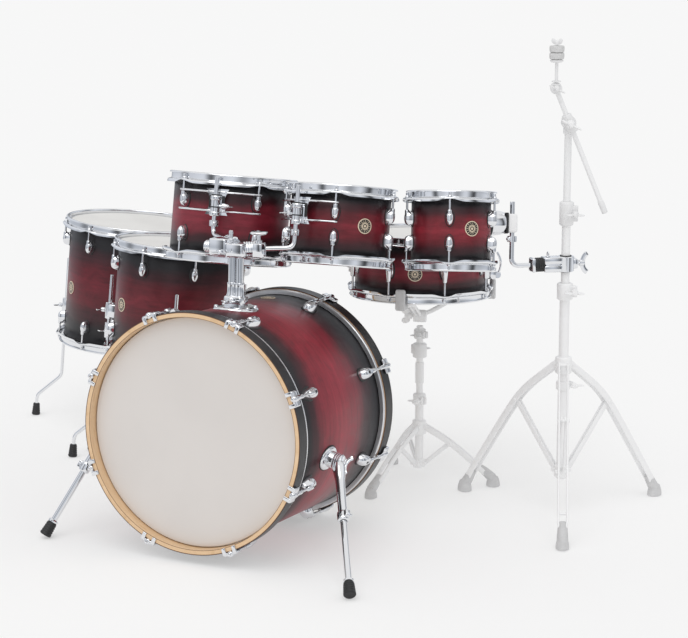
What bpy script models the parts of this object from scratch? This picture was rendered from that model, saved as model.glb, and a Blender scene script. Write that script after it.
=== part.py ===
"""Seven-piece drum kit with its tom holder, snare stand and boom stand.

One named object for each sub-part, in metres, with +Z up and the bass drum's front facing -Y.
A drum's own frame has its origin at the middle of its top hoop and its Z along the drum's axis.
"""
import math

import bmesh
import bpy
from mathutils import Matrix, Vector

# Shared clearances and stock
GAP = 0.0003
INCH = 0.0254
SHELL_WALL = 0.007
FILM = 0.0010
ROD_SIDES = 4
L_ROD = 0.0061
L_BORE = 0.0069

# Flanged hoop, measured outwards from the shell and inwards from the hoop's outer plane
HOOP_EDGE = 0.011
HOOP_SKIRT = 0.0145
HOOP_LIP = 0.0118
HOOP_BRIM = 0.0040
HOOP_WALL = 0.0102
HOOP_FLANGE = 0.0188
FLESH_IN = 0.0016
FLESH_OUT = 0.0046
TENSION_OFFSET = 0.0148
TENSION_RADIUS = 0.0034
TENSION_TOP = 0.0240

# Lugs on the toms, measured from the shell's edge
LUG_INSET = 0.0585
LUG_HALF_HEIGHT = 0.0165
LUG_HALF_WIDTH = 0.0105
LUG_STAND = 0.018

# Bass drum, with distances behind its front face
BASS_RADIUS = 11 * INCH
BASS_LENGTH = 0.520
BASS_TILT = math.radians(2.64)
BASS_HOOP_OUT = 0.295
BASS_HOOP_IN = 0.2816
BASS_HOOP_DEPTH = 0.038
BASS_EDGE = 0.0268
BASS_LUGS = 8
BASS_LUG_INSET = 0.105
BASS_LUG_HALF = 0.024
BASS_LUG_STAND = 0.028
BASS_SEGMENTS = 36

# Spurs, in the bass drum's frame, with their feet on the floor
SPUR_AZIMUTHS = (-13, 184)
SPUR_INSETS = (0.195, 0.160)
SPUR_FEET = ((0.465, -0.085), (-0.430, 0.010))
SPUR_FOOT_RADIUS = 0.015
SPUR_FOOT_LENGTH = 0.034
SPUR_HUB_RADIUS = 0.020
SPUR_HUB_LOW = 0.0203
SPUR_HUB_HIGH = 0.0400
SPUR_STAND = 0.030
SPUR_TUBE = 0.0110
SPUR_TUBE_SHARE = 0.46
SPUR_LEG = 0.0078
SPUR_LEG_SHARE = 0.28
SPUR_BORE = 0.0083
SPUR_BORE_START = 0.024

# Tom holder, on top of the bass shell
HOLDER_INSET = 0.220
HOLDER_PLATE = (0.057, 0.052)
HOLDER_THICK = 0.006
POST_RADIUS = 0.0066
POST_SPREAD = 0.0060
CLAMP_LOW = 0.125
CLAMP_HIGH = 0.172
ARM_HIGH = 0.158
ARM_LOW = 0.143
JAW_RADIUS = 0.0165
JAW_LENGTH = 0.052

# Each drum: place of its top hoop's middle, direction of its axis, shell diameter and depth,
# lugs in a row, angle of the first lug, and the number of flat sides of its round pieces
DRUMS = {
    "tom8": dict(top=(0.409, 0.620, 0.851), axis=(-0.061, 0.163, 0.985), diameter=0.200,
                 depth=7 * INCH, lugs=5, first=75, sides=20),
    "tom10": dict(top=(0.158, 0.509, 0.863), axis=(-0.010, 0.185, 0.983), diameter=0.252,
                  depth=7 * INCH, lugs=5, first=2, sides=24),
    "tom12": dict(top=(-0.170, 0.539, 0.869), axis=(0.017, 0.156, 0.988), diameter=0.303,
                  depth=8 * INCH, lugs=5, first=34, sides=24),
    "floor14": dict(top=(-0.473, 0.792, 0.637), axis=(0.060, 0.081, 0.995), diameter=0.354,
                    depth=12 * INCH, lugs=8, first=41, sides=28),
    "floor16": dict(top=(-0.819, 1.124, 0.629), axis=(0.072, 0.051, 0.996), diameter=0.404,
                    depth=14 * INCH, lugs=8, first=34.5, sides=32),
    "snare": dict(top=(0.204, 0.898, 0.699), axis=(-0.014, 0.045, 0.999), diameter=0.354,
                  depth=6 * INCH, lugs=8, first=43, sides=28),
}

# Where each tom's L-rod stands, seen from the drum's axis
ROD_PLACE = {
    "tom8": dict(angle=39, stand_off=0.061, above=-0.022, collar=-0.108),
    "tom10": dict(angle=254, stand_off=0.036, above=-0.010, collar=-0.118),
    "tom12": dict(angle=286, stand_off=0.036, above=-0.008, collar=-0.116),
}
MOUNT_PLATE_IN = 0.0190
MOUNT_PLATE_OUT = 0.0235
MOUNT_RAIL = 0.0030

# Floor-tom legs, seen from the drum's axis
LEG_OFFSET = 0.030
LEG_ROD = 0.005
LEG_BORE = 0.0056
LEG_SPLAY = 0.112
LEG_KNEE = 0.056
LEG_FOOT = 0.013
LEG_FOOT_HEIGHT = 0.035
FLOOR_LEGS = {
    "floor14": dict(angles=(298, 56, 188), bracket=-0.222, rod_top=-0.121),
    "floor16": dict(angles=(284, 48, 183), bracket=-0.297, rod_top=-0.149),
}

# Snare drum's strainer
STRAINER_ANGLE = 20.5
STRAINER_OUT = 0.022
LEVER_PIVOT = -0.116

# Snare stand
SNARE_HUB_HEIGHT = 0.467
SNARE_FOOT_ANGLES = (15, 135, 255)
SNARE_ARM_ANGLES = (39, 159, 279)
SNARE_LEG = [(0.016, 0.160), (0.085, 0.120), (0.150, 0.066), (0.205, 0.020)]
SNARE_STRUT = [(0.0155, 0.056), (0.085, 0.114)]
SNARE_BASE_TUBE = dict(r_in=0.0098, r_out=0.0115, low=0.045, high=0.245)
SNARE_BASE_COLLARS = {"top": (0.222, 0.250, 0.0175), "leg": (0.140, 0.175, 0.0190),
                      "low": (0.046, 0.066, 0.0170)}
SNARE_TUBE_OUT = 0.0092
SNARE_TUBE_IN = 0.0078
SNARE_GRIP = 0.0120
SNARE_ARM = 0.0050

# Boom stand
BOOM_STAND = Vector((0.657, 0.784, 0.0))
BOOM_FOOT_ANGLES = (-69, 57, 165)
BOOM_LEG = [(0.0185, 0.399), (0.120, 0.317), (0.165, 0.256), (0.265, 0.100), (0.315, 0.018)]
BOOM_STRUT = [(0.0175, 0.116), (0.145, 0.284)]
BOOM_HEAD_HEIGHT = 1.022
BOOM_LINE = Vector((-0.345, -0.166, 0.924)).normalized()
BOOM_SIDE = Vector((0.434, -0.901, 0.0)).normalized()
BOOM_OFFSET = 0.030
BOOM_ROD = 0.0063
BOOM_BELOW = 0.240
BOOM_ABOVE = 0.096
BOOM_BASE_TUBE = dict(r_in=0.0114, r_out=0.0128, low=0.094, high=0.606)
BOOM_BASE_COLLARS = {"top": (0.567, 0.609, 0.0205), "leg": (0.376, 0.415, 0.0215),
                     "mid": (0.332, 0.352, 0.0180), "low": (0.100, 0.128, 0.0190)}
MIDDLE_TUBE = dict(r_in=0.0097, r_out=0.0109, low=0.445, high=0.815)
MIDDLE_COLLAR = (0.761, 0.819, 0.0180)
UPPER_TUBE = dict(r_in=0.0070, r_out=0.0092, low=0.630, high=1.008)
TOM_CLAMP_HEIGHT = 0.6610


def clear_scene():
    for obj in list(bpy.data.objects):
        bpy.data.objects.remove(obj, do_unlink=True)


clear_scene()
KIT = bpy.data.collections.new("drum_kit")
CUTTERS = bpy.data.collections.new("cutters")
bpy.context.scene.collection.children.link(KIT)
bpy.context.scene.collection.children.link(CUTTERS)
FRAMES = []


def make_material(name, colour, roughness, metallic):
    mat = bpy.data.materials.new(name)
    mat.use_nodes = True
    shader = mat.node_tree.nodes["Principled BSDF"]
    shader.inputs["Base Color"].default_value = (*colour, 1.0)
    shader.inputs["Roughness"].default_value = roughness
    shader.inputs["Metallic"].default_value = metallic
    mat.diffuse_color = (*colour, 1.0)
    return mat


# colour, roughness and metallic value of each finish
FINISHES = {
    "lacquer": ((0.20, 0.030, 0.040), 0.38, 0.0),
    "chrome": ((0.62, 0.63, 0.65), 0.12, 1.0),
    "maple": ((0.72, 0.50, 0.28), 0.45, 0.0),
    "front_film": ((0.68, 0.64, 0.61), 0.42, 0.0),
    "coated_film": ((0.86, 0.86, 0.85), 0.60, 0.0),
    "pale_steel": ((0.80, 0.80, 0.80), 0.35, 0.6),
    "spring_steel": ((0.55, 0.55, 0.56), 0.25, 1.0),
}


def piece_material(obj, finish):
    obj.data.materials.append(make_material(obj.name + "_" + finish, *FINISHES[finish]))


def rotation_about(axis, degrees):
    return Matrix.Rotation(math.radians(degrees), 4, axis)


def turn_to(direction):
    """Rotation that carries +Z to the direction."""
    return Vector((0, 0, 1)).rotation_difference(Vector(direction)).to_matrix().to_4x4()


def add_frame(name, matrix, parent=None):
    frame = bpy.data.objects.new(name, None)
    frame.empty_display_size = 0.03
    KIT.objects.link(frame)
    frame.parent = parent
    bpy.context.view_layer.update()
    frame.matrix_world = matrix
    bpy.context.view_layer.update()
    if parent is None:
        FRAMES.append(frame)
    return frame


def place(obj, frame, finish):
    KIT.objects.link(obj)
    obj.parent = frame
    piece_material(obj, finish)
    return obj


def add_tool(name, mesh, frame):
    obj = bpy.data.objects.new(name, mesh)
    obj.hide_render = True
    obj.display_type = "WIRE"
    CUTTERS.objects.link(obj)
    obj.parent = frame
    return obj


def boolean(obj, tool, operation="UNION"):
    modifier = obj.modifiers.new(operation.lower() + "_" + tool.name, "BOOLEAN")
    modifier.object = tool
    modifier.operation = operation
    modifier.solver = "EXACT"


def turned(name, points, sides, frame, finish):
    """A turned piece: points are (radius, height) down the outer side and back up the inner."""
    mesh = bpy.data.meshes.new(name)
    count = len(points)
    last = count - 1 if points[0][0] == 0.0 else count
    edges = [(i, (i + 1) % count) for i in range(last)]
    mesh.from_pydata([(r, 0.0, z) for r, z in points], edges, [])
    obj = place(bpy.data.objects.new(name, mesh), frame, finish)
    screw = obj.modifiers.new("turn", "SCREW")
    screw.axis = "Z"
    screw.steps = sides
    screw.render_steps = sides
    screw.use_merge_vertices = True
    screw.merge_threshold = 0.00001
    screw.use_smooth_shade = True
    return obj


def ring(name, r_in, r_out, low, high, sides, frame, finish):
    points = [(r_out, high), (r_out, low), (r_in, low), (r_in, high)]
    return turned(name, points, sides, frame, finish)


def prism(bm, matrix, radius, length, sides, tip=None):
    """A straight or tapered prism that starts at the matrix's origin and runs along its Z."""
    bmesh.ops.create_cone(bm, cap_ends=True, segments=sides, radius1=radius,
                          radius2=radius if tip is None else tip, depth=length,
                          matrix=matrix @ Matrix.Translation((0, 0, length / 2)))


def block(bm, matrix, low, high):
    low, high = Vector(low), Vector(high)
    size = high - low
    scale = Matrix.Diagonal((size.x, size.y, size.z, 1.0))
    bmesh.ops.create_cube(bm, size=1.0, matrix=matrix @ Matrix.Translation((low + high) / 2) @ scale)


def mesh_of(name, build):
    """A mesh filled by the build function."""
    bm = bmesh.new()
    build(bm)
    mesh = bpy.data.meshes.new(name)
    bm.to_mesh(mesh)
    bm.free()
    return mesh


def solid(name, build, frame, finish):
    return place(bpy.data.objects.new(name, mesh_of(name, build)), frame, finish)


def join(obj, name, build, operation="UNION"):
    """Joins to an object, or cuts from it, the bodies that the build function makes."""
    boolean(obj, add_tool(name, mesh_of(name, build), obj.parent), operation)


def tube_curve(name, runs, radius, resolution=2):
    curve = bpy.data.curves.new(name, "CURVE")
    curve.dimensions = "3D"
    curve.bevel_depth = radius
    curve.bevel_resolution = resolution
    curve.use_fill_caps = True
    for run in runs:
        spline = curve.splines.new("POLY")
        spline.points.add(len(run) - 1)
        for point, place_at in zip(spline.points, run):
            point.co = (*place_at, 1.0)
    return curve


def tube_mesh(name, runs, radius, resolution=2):
    """Tubes as one mesh, with their caps welded."""
    carrier = bpy.data.objects.new(name, tube_curve(name, runs, radius, resolution))
    CUTTERS.objects.link(carrier)
    evaluated = carrier.evaluated_get(bpy.context.evaluated_depsgraph_get())
    mesh = bpy.data.meshes.new_from_object(evaluated)
    bpy.data.objects.remove(carrier, do_unlink=True)
    bm = bmesh.new()
    bm.from_mesh(mesh)
    bmesh.ops.remove_doubles(bm, verts=bm.verts, dist=0.00001)
    bm.to_mesh(mesh)
    bm.free()
    mesh.name = name
    return mesh


def join_tubes(obj, name, runs, radius, resolution=2):
    boolean(obj, add_tool(name, tube_mesh(name, runs, radius, resolution), obj.parent))


def around(angle, radius=0.0, height=0.0):
    """Frame on a drum or stand at an angle: X points outwards, Z along the axis."""
    return rotation_about("Z", angle) @ Matrix.Translation((radius, 0, height))


OUTWARDS = Matrix.Rotation(math.radians(90), 4, "Y")


def add_lugs(shell, radius, angles, heights, half_height, half_width, stand):
    def build(bm):
        for height in heights:
            for angle in angles:
                shape = Matrix.Diagonal((half_height, half_width, 1.0, 1.0))
                prism(bm, around(angle, radius - 0.004, height) @ OUTWARDS @ shape,
                      1.0, stand + 0.004, 6, tip=0.82)
    join(shell, shell.name + "_lugs", build)


def tension_rods(bm, angles, offset, low, high):
    for angle in angles:
        matrix = around(angle, offset, low) @ rotation_about("Z", 45)
        prism(bm, matrix, TENSION_RADIUS, high - low, ROD_SIDES)


def flanged_hoop(radius, film):
    """Section of a flanged hoop, as (radius, distance from the hoop's plane into the drum)."""
    skirt = HOOP_EDGE + HOOP_SKIRT
    outer = [(radius + HOOP_LIP, 0.0), (radius + HOOP_WALL, skirt - 0.0035),
             (radius + HOOP_FLANGE, skirt - 0.0030), (radius + HOOP_FLANGE, skirt)]
    brim = (radius + HOOP_LIP - HOOP_BRIM, 0.0)
    if film:
        return [(0.0, HOOP_EDGE - FILM - GAP), (radius + 0.0008, HOOP_EDGE - FILM - GAP),
                brim, *outer, (radius + FLESH_IN, skirt),
                (radius + FLESH_IN, HOOP_EDGE - GAP), (0.0, HOOP_EDGE - GAP)]
    shelf = HOOP_EDGE - FILM - 2 * GAP
    return [brim, *outer, (radius + FLESH_OUT + GAP, skirt),
            (radius + FLESH_OUT + GAP, shelf), (radius + 0.0008, shelf)]


def film_section(radius):
    """Section of a head with its flesh hoop."""
    face = HOOP_EDGE - FILM - GAP
    skirt = HOOP_EDGE + 0.009
    return [(0.0, face), (radius + FLESH_OUT, face), (radius + FLESH_OUT, skirt),
            (radius + FLESH_IN, skirt), (radius + FLESH_IN, HOOP_EDGE - GAP), (0.0, HOOP_EDGE - GAP)]


def facing_up(section):
    return [(r, -s) for r, s in section]


def facing_down(section, height):
    return [(r, s - height) for r, s in reversed(section)]


def drum_height(spec):
    return spec["depth"] + 2 * HOOP_EDGE


def lug_angles(spec):
    return [spec["first"] + k * 360 / spec["lugs"] for k in range(spec["lugs"])]


def build_drum(name, spec, frame):
    """Shell with its lugs, both hoops with their tension rods, and the heads."""
    radius = spec["diameter"] / 2
    height = drum_height(spec)
    sides = spec["sides"]
    angles = lug_angles(spec)
    shell = ring(name + "_shell", radius - SHELL_WALL, radius, HOOP_EDGE - height, -HOOP_EDGE,
                 sides, frame, "lacquer")
    if name == "snare":
        lug_rows = [-height / 2]
        lug_half = 0.030
    else:
        lug_rows = [-HOOP_EDGE - LUG_INSET, HOOP_EDGE + LUG_INSET - height]
        lug_half = LUG_HALF_HEIGHT
    add_lugs(shell, radius, angles, lug_rows, lug_half, LUG_HALF_WIDTH, LUG_STAND)
    top_hoop = turned(name + "_top_hoop", facing_up(flanged_hoop(radius, False)), sides, frame,
                      "chrome")
    rod_end = lug_rows[0] + lug_half + GAP
    join(top_hoop, name + "_top_rods",
         lambda bm: tension_rods(bm, angles, radius + TENSION_OFFSET, rod_end, -TENSION_TOP))
    turned(name + "_batter_head", facing_up(film_section(radius)), sides, frame, "coated_film")
    with_film = name != "snare"
    bottom_hoop = turned(name + "_bottom_hoop", facing_down(flanged_hoop(radius, with_film), height),
                         sides, frame, "chrome")
    rod_start = lug_rows[-1] - lug_half - GAP
    join(bottom_hoop, name + "_bottom_rods",
         lambda bm: tension_rods(bm, angles, radius + TENSION_OFFSET, TENSION_TOP - height, rod_start))
    if not with_film:
        turned(name + "_snare_side_head", facing_down(film_section(radius), height), sides, frame,
               "coated_film")
    return shell


def bass_matrix():
    """The front face's middle: the drum stands on its rear hoop, with its front raised."""
    rise = BASS_LENGTH * math.sin(BASS_TILT) + BASS_HOOP_OUT * math.cos(BASS_TILT)
    return Matrix.Translation((0, 0, rise)) @ Matrix.Rotation(math.radians(90) - BASS_TILT, 4, "X")


def bass_film_section():
    skirt = 0.0475
    return [(0.0, 0.0255), (0.2812, 0.0255), (0.2812, 0.0385), (0.2880, 0.0385), (0.2880, skirt),
            (0.2799, skirt), (0.2799, BASS_EDGE - GAP), (0.0, BASS_EDGE - GAP)]


def bass_hoop_section():
    return [(BASS_HOOP_IN, 0.0), (BASS_HOOP_OUT, 0.0), (BASS_HOOP_OUT, BASS_HOOP_DEPTH),
            (BASS_HOOP_IN, BASS_HOOP_DEPTH)]


def bass_claws(bm, angles, face, inwards):
    """Claws over the hoop's outer edge."""
    low, high = sorted((face - inwards * 0.004, face + inwards * 0.046))
    for angle in angles:
        block(bm, around(angle), (0.2925, -0.011, low), (0.3035, 0.011, high))


def bass_rods(bm, angles, face, inwards):
    """The rods that pull the claws to their lugs."""
    reach = BASS_LUG_INSET - BASS_LUG_HALF - 0.003
    low, high = sorted((face + inwards * 0.030, face + inwards * reach))
    for angle in angles:
        prism(bm, around(angle, 0.2990, low) @ rotation_about("Z", 45), 0.0042, high - low, ROD_SIDES)


def build_bass(frame):
    angles = [22.5 + 45 * k for k in range(BASS_LUGS)]
    shell = ring("bass_shell", BASS_RADIUS - SHELL_WALL, BASS_RADIUS, BASS_EDGE - BASS_LENGTH,
                 -BASS_EDGE, BASS_SEGMENTS, frame, "lacquer")
    rows = [-BASS_LUG_INSET, BASS_LUG_INSET - BASS_LENGTH]
    add_lugs(shell, BASS_RADIUS, angles, rows, BASS_LUG_HALF, 0.015, BASS_LUG_STAND)

    def brackets(bm):
        for side in (0, 1):
            matrix = spur_frame(side)
            prism(bm, matrix @ Matrix.Translation((0, 0, -0.003)), 0.024, 0.023, 12)
    join(shell, "spur_brackets", brackets)
    front_hoop = turned("bass_front_hoop", facing_up(bass_hoop_section()), BASS_SEGMENTS, frame, "maple")
    join(front_hoop, "front_claws", lambda bm: bass_claws(bm, angles, 0.0, -1))
    join(front_hoop, "front_t_rods", lambda bm: bass_rods(bm, angles, 0.0, -1))
    turned("bass_front_head", facing_up(bass_film_section()), BASS_SEGMENTS, frame, "front_film")
    batter_hoop = turned("bass_batter_hoop", facing_down(bass_hoop_section(), BASS_LENGTH),
                         BASS_SEGMENTS, frame, "maple")
    join(batter_hoop, "batter_claws", lambda bm: bass_claws(bm, angles, -BASS_LENGTH, 1))
    join(batter_hoop, "batter_t_rods", lambda bm: bass_rods(bm, angles, -BASS_LENGTH, 1))
    turned("bass_batter_head", facing_down(bass_film_section(), BASS_LENGTH), BASS_SEGMENTS, frame,
           "coated_film")


def spur_frame(side):
    """On the shell, in the bass drum's frame: Z points outwards. Side 0 is +X, side 1 is -X."""
    return around(SPUR_AZIMUTHS[side], BASS_RADIUS, -SPUR_INSETS[side]) @ OUTWARDS


def build_spurs(bass):
    for side, label in ((0, "left"), (1, "right")):
        hinge = bass.matrix_world @ spur_frame(side)
        frame = add_frame("spur_" + label + "_hinge", hinge, bass)
        start = hinge @ Vector((0, 0, SPUR_STAND))
        foot = Vector((*SPUR_FEET[side], 0.0))
        slope = (foot - start).normalized()
        foot.z = SPUR_FOOT_RADIUS * math.sqrt(1 - slope.z ** 2)
        length = (foot - start).length
        along = hinge.inverted() @ Matrix.Translation(start) @ turn_to((foot - start).normalized())
        tube = solid("spur_" + label + "_tube",
                     lambda bm: prism(bm, Matrix.Translation((0, 0, SPUR_HUB_LOW)), SPUR_HUB_RADIUS,
                                      SPUR_HUB_HIGH - SPUR_HUB_LOW, 12), frame, "chrome")
        sleeve = SPUR_TUBE_SHARE * length
        join(tube, "spur_sleeve_" + label, lambda bm: prism(bm, along, SPUR_TUBE, sleeve, 10))
        join(tube, "spur_bore_" + label,
             lambda bm: prism(bm, along @ Matrix.Translation((0, 0, SPUR_BORE_START)), SPUR_BORE,
                              sleeve, 10), "DIFFERENCE")
        inner_start = SPUR_LEG_SHARE * length
        foot_start = length - SPUR_FOOT_LENGTH
        leg = solid("spur_" + label + "_leg",
                    lambda bm: prism(bm, along @ Matrix.Translation((0, 0, inner_start)), SPUR_LEG,
                                     foot_start - inner_start + 0.014, 10), frame, "chrome")
        join(leg, "spur_foot_" + label,
             lambda bm: prism(bm, along @ Matrix.Translation((0, 0, foot_start)), SPUR_FOOT_RADIUS,
                              SPUR_FOOT_LENGTH, 12))


def holder_matrix(bass):
    """On top of the bass shell, with Z away from the shell and Y towards the drummer."""
    return (bass.matrix_world @ Matrix.Translation((0, BASS_RADIUS, -HOLDER_INSET))
            @ Matrix.Rotation(math.radians(-90), 4, "X"))


def arm_end(holder, height):
    """Middle of the clamp head at an arm's height, in the world."""
    return holder @ Vector((0, 0, height))


def rod_line(name, drum):
    """A point on the L-rod's upright, level with the top hoop, and the upright's direction."""
    spec = DRUMS[name]
    spot = ROD_PLACE[name]
    local = around(spot["angle"], spec["diameter"] / 2 + spot["stand_off"]).translation
    return drum @ local, (drum.to_3x3() @ Vector((0, 0, 1))).normalized()


def elbow_of(name, drum, height):
    point, axis = rod_line(name, drum)
    return point + axis * ((height - point.z) / axis.z)


def build_l_rod(name, drum, hub, reach, parent):
    """The rod bends from a level arm, held in a clamp, up past its drum."""
    point, axis = rod_line(name, drum)
    elbow = elbow_of(name, drum, hub.z)
    arm = (elbow - hub).normalized()
    frame = add_frame(name + "_tilt", Matrix.Translation(hub) @ turn_to(arm), parent)
    to_local = frame.matrix_world.inverted()
    spot = ROD_PLACE[name]
    bend = 0.016
    corner = elbow - arm * bend * 0.35 + axis * bend * 0.35
    run = [hub + arm * reach, elbow - arm * bend, corner, elbow + axis * bend,
           point + axis * spot["above"]]
    rod = place(bpy.data.objects.new(name + "_l_rod",
                                     tube_mesh(name + "_l_rod", [[to_local @ p for p in run]], L_ROD, 1)),
                frame, "chrome")
    collar = to_local @ Matrix.Translation(point + axis * (spot["collar"] - 0.016)) @ turn_to(axis)
    join(rod, name + "_memory_collar", lambda bm: prism(bm, collar, 0.012, 0.016, 10))
    return add_frame(name + "_swivel", Matrix.Translation(point) @ turn_to(axis), frame)


def build_holder(bass):
    matrix = holder_matrix(bass)
    base_frame = add_frame("tom_holder_base_frame", matrix, bass)

    def oval(bm):
        prism(bm, Matrix.Translation((0, 0, -0.012)) @ Matrix.Diagonal((*HOLDER_PLATE, 1, 1)), 1.0, 0.024, 20)

    def bass_round(radius):
        return lambda bm: prism(bm, Matrix.Translation((0, 0, -HOLDER_INSET - 0.1)), radius, 0.2,
                                BASS_SEGMENTS)
    base = solid("tom_holder_base", oval, base_frame, "chrome")
    outer = add_tool("holder_outer", mesh_of("holder_outer", bass_round(BASS_RADIUS + HOLDER_THICK)), bass)
    boolean(base, outer, "INTERSECT")
    join(base, "holder_socket", lambda bm: block(bm, Matrix(), (-0.023, -0.020, 0.002),
                                                 (0.023, 0.024, 0.058)))
    saddle = add_tool("holder_saddle", mesh_of("holder_saddle", bass_round(BASS_RADIUS + GAP)), bass)
    boolean(base, saddle, "DIFFERENCE")
    width = POST_SPREAD + POST_RADIUS + 0.0005
    join(base, "holder_pocket", lambda bm: block(bm, Matrix(), (-width, -POST_RADIUS - 0.0005, 0.004),
                                                 (width, POST_RADIUS + 0.0005, 0.070)), "DIFFERENCE")
    post_frame = add_frame("tom_holder_height", matrix, bass)
    posts = solid("tom_holder_posts",
                  lambda bm: prism(bm, Matrix.Translation((-POST_SPREAD, 0, 0.024)), POST_RADIUS,
                                   CLAMP_LOW - GAP - 0.024, 10), post_frame, "chrome")
    join(posts, "second_post", lambda bm: prism(bm, Matrix.Translation((POST_SPREAD, 0, 0.024)),
                                                POST_RADIUS, CLAMP_LOW - GAP - 0.024, 10))
    clamp = solid("tom_holder_clamp",
                  lambda bm: block(bm, Matrix(), (-0.030, -0.022, CLAMP_LOW), (0.026, 0.020, CLAMP_HIGH)),
                  post_frame, "chrome")
    for name, height in (("tom12", ARM_HIGH), ("tom10", ARM_LOW)):
        hub = arm_end(matrix, height)
        drum = drum_matrix(DRUMS[name])
        arm = (elbow_of(name, drum, hub.z) - hub).normalized()
        local = matrix.inverted() @ Matrix.Translation(hub) @ turn_to(arm)
        join(clamp, name + "_jaw", lambda bm, m=local: prism(bm, m, JAW_RADIUS, JAW_LENGTH, 12))
    for name, height in (("tom12", ARM_HIGH), ("tom10", ARM_LOW)):
        hub = arm_end(matrix, height)
        drum = drum_matrix(DRUMS[name])
        arm = (elbow_of(name, drum, hub.z) - hub).normalized()
        local = (matrix.inverted() @ Matrix.Translation(hub) @ turn_to(arm)
                 @ Matrix.Translation((0, 0, 0.018)))
        join(clamp, name + "_arm_bore", lambda bm, m=local: prism(bm, m, L_BORE, 0.06, 10), "DIFFERENCE")
    return post_frame, matrix


def drum_matrix(spec):
    return Matrix.Translation(spec["top"]) @ turn_to(Vector(spec["axis"]).normalized())


def build_suspension(name, frame):
    """A plate with a jaw for the L-rod, on two rails that hook round the tension rods."""
    spec = DRUMS[name]
    radius = spec["diameter"] / 2
    angle = ROD_PLACE[name]["angle"]
    spread = 180 / spec["lugs"]
    centre = around(angle)
    plate = solid(name + "_suspension_mount",
                  lambda bm: block(bm, centre, (radius + MOUNT_PLATE_IN, -0.030, -0.112),
                                   (radius + MOUNT_PLATE_OUT, 0.030, -0.040)), frame, "chrome")
    rails = []
    for height in (-0.0450, -0.0930):
        out = radius + MOUNT_PLATE_OUT - 0.0005
        run = [around(angle + sign * turn, reach, height).translation for sign, turn, reach in
               ((-1, spread, radius + 0.0222), (-1, spread - 4, out), (-1, 10, out),
                (1, 10, out), (1, spread - 4, out), (1, spread, radius + 0.0222))]
        rails.append(run)
    join_tubes(plate, name + "_rails", rails, MOUNT_RAIL, 1)
    rod = radius + ROD_PLACE[name]["stand_off"]
    join(plate, name + "_mount_jaw", lambda bm: block(bm, centre, (radius + 0.022, -0.014, -0.106),
                                                      (rod + 0.011, 0.014, -0.054)))
    join(plate, name + "_mount_bore", lambda bm: prism(
        bm, around(angle, rod, -0.112), L_BORE, 0.075, 10), "DIFFERENCE")


def build_tom8_block(shell):
    spec = DRUMS["tom8"]
    radius = spec["diameter"] / 2
    spot = ROD_PLACE["tom8"]
    centre = around(spot["angle"])
    join(shell, "tom8_mount_block", lambda bm: block(
        bm, centre, (radius - 0.005, -0.016, -0.104), (radius + spot["stand_off"] + 0.012, 0.016, -0.048)))
    join(shell, "tom8_mount_bore", lambda bm: prism(
        bm, around(spot["angle"], radius + spot["stand_off"], -0.13), L_BORE, 0.10, 10), "DIFFERENCE")


def build_floor_legs(name, shell, frame):
    spec = DRUMS[name]
    legs = FLOOR_LEGS[name]
    radius = spec["diameter"] / 2
    low, high = legs["bracket"] - 0.022, legs["bracket"] + 0.022

    def brackets(bm):
        for angle in legs["angles"]:
            block(bm, around(angle), (radius - 0.005, -0.015, low), (radius + LEG_OFFSET + 0.012, 0.015, high))
    join(shell, name + "_leg_brackets", brackets)

    def bores(bm):
        for angle in legs["angles"]:
            prism(bm, around(angle, radius + LEG_OFFSET, low - 0.01), LEG_BORE, high - low + 0.02, 10)
    join(shell, name + "_leg_bores", bores, "DIFFERENCE")
    world = frame.matrix_world
    lean = math.sqrt(max(0.0, 1 - world[2][2] ** 2))
    for number, angle in enumerate(legs["angles"], 1):
        knee_out = around(angle, radius + LEG_SPLAY).translation
        level = world @ knee_out
        foot = (LEG_FOOT * lean - level.z) / world[2][2]
        leg_frame = add_frame(name + "_leg_slide_" + str(number),
                              world @ around(angle, radius + LEG_OFFSET, legs["rod_top"]), frame)
        down = foot - legs["rod_top"]
        splay = LEG_SPLAY - LEG_OFFSET
        knee = down + LEG_KNEE
        run = [(0, 0, 0), (0, 0, knee + 0.088), (0.007, 0, knee + 0.075), (splay - 0.008, 0, knee + 0.013),
               (splay, 0, knee), (splay, 0, down + LEG_FOOT_HEIGHT / 2)]
        leg = place(bpy.data.objects.new(name + "_leg_" + str(number),
                                         tube_mesh(name + "_leg_" + str(number), [run], LEG_ROD, 1)),
                    leg_frame, "chrome")
        join(leg, name + "_rubber_foot_" + str(number), lambda bm, d=down: prism(
            bm, Matrix.Translation((splay, 0, d)), LEG_FOOT, LEG_FOOT_HEIGHT, 10, tip=0.010))


def build_strainer(shell, frame):
    spec = DRUMS["snare"]
    radius = spec["diameter"] / 2
    height = drum_height(spec)
    throw = around(STRAINER_ANGLE)
    butt = around(STRAINER_ANGLE + 180)

    def plates(bm):
        block(bm, throw, (radius - 0.005, -0.016, -0.128), (radius + STRAINER_OUT, 0.016, -0.050))
        block(bm, butt, (radius - 0.005, -0.016, -0.125), (radius + 0.018, 0.016, -0.070))
    join(shell, "strainer_housing", plates)
    hinge = frame.matrix_world @ around(STRAINER_ANGLE, radius + 0.031, LEVER_PIVOT)
    lever_frame = add_frame("snare_lever_hinge", hinge, frame)
    reach = STRAINER_OUT + GAP - 0.031
    lever = solid("snare_throw_off_lever",
                  lambda bm: block(bm, Matrix(), (reach, -0.009, 0.004), (reach + 0.006, 0.009, 0.072)),
                  lever_frame, "chrome")
    side = Matrix.Translation((0, -0.012, 0)) @ Matrix.Rotation(math.radians(-90), 4, "X")
    join(lever, "lever_barrel", lambda bm: prism(bm, side, -reach - GAP, 0.024, 12))
    film_face = HOOP_EDGE - FILM - 2 * GAP - height
    solid("snare_wires", lambda bm: block(bm, around(STRAINER_ANGLE), (-0.165, -0.021, film_face - 0.0022),
                                          (0.165, 0.021, film_face)), frame, "spring_steel")


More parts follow.
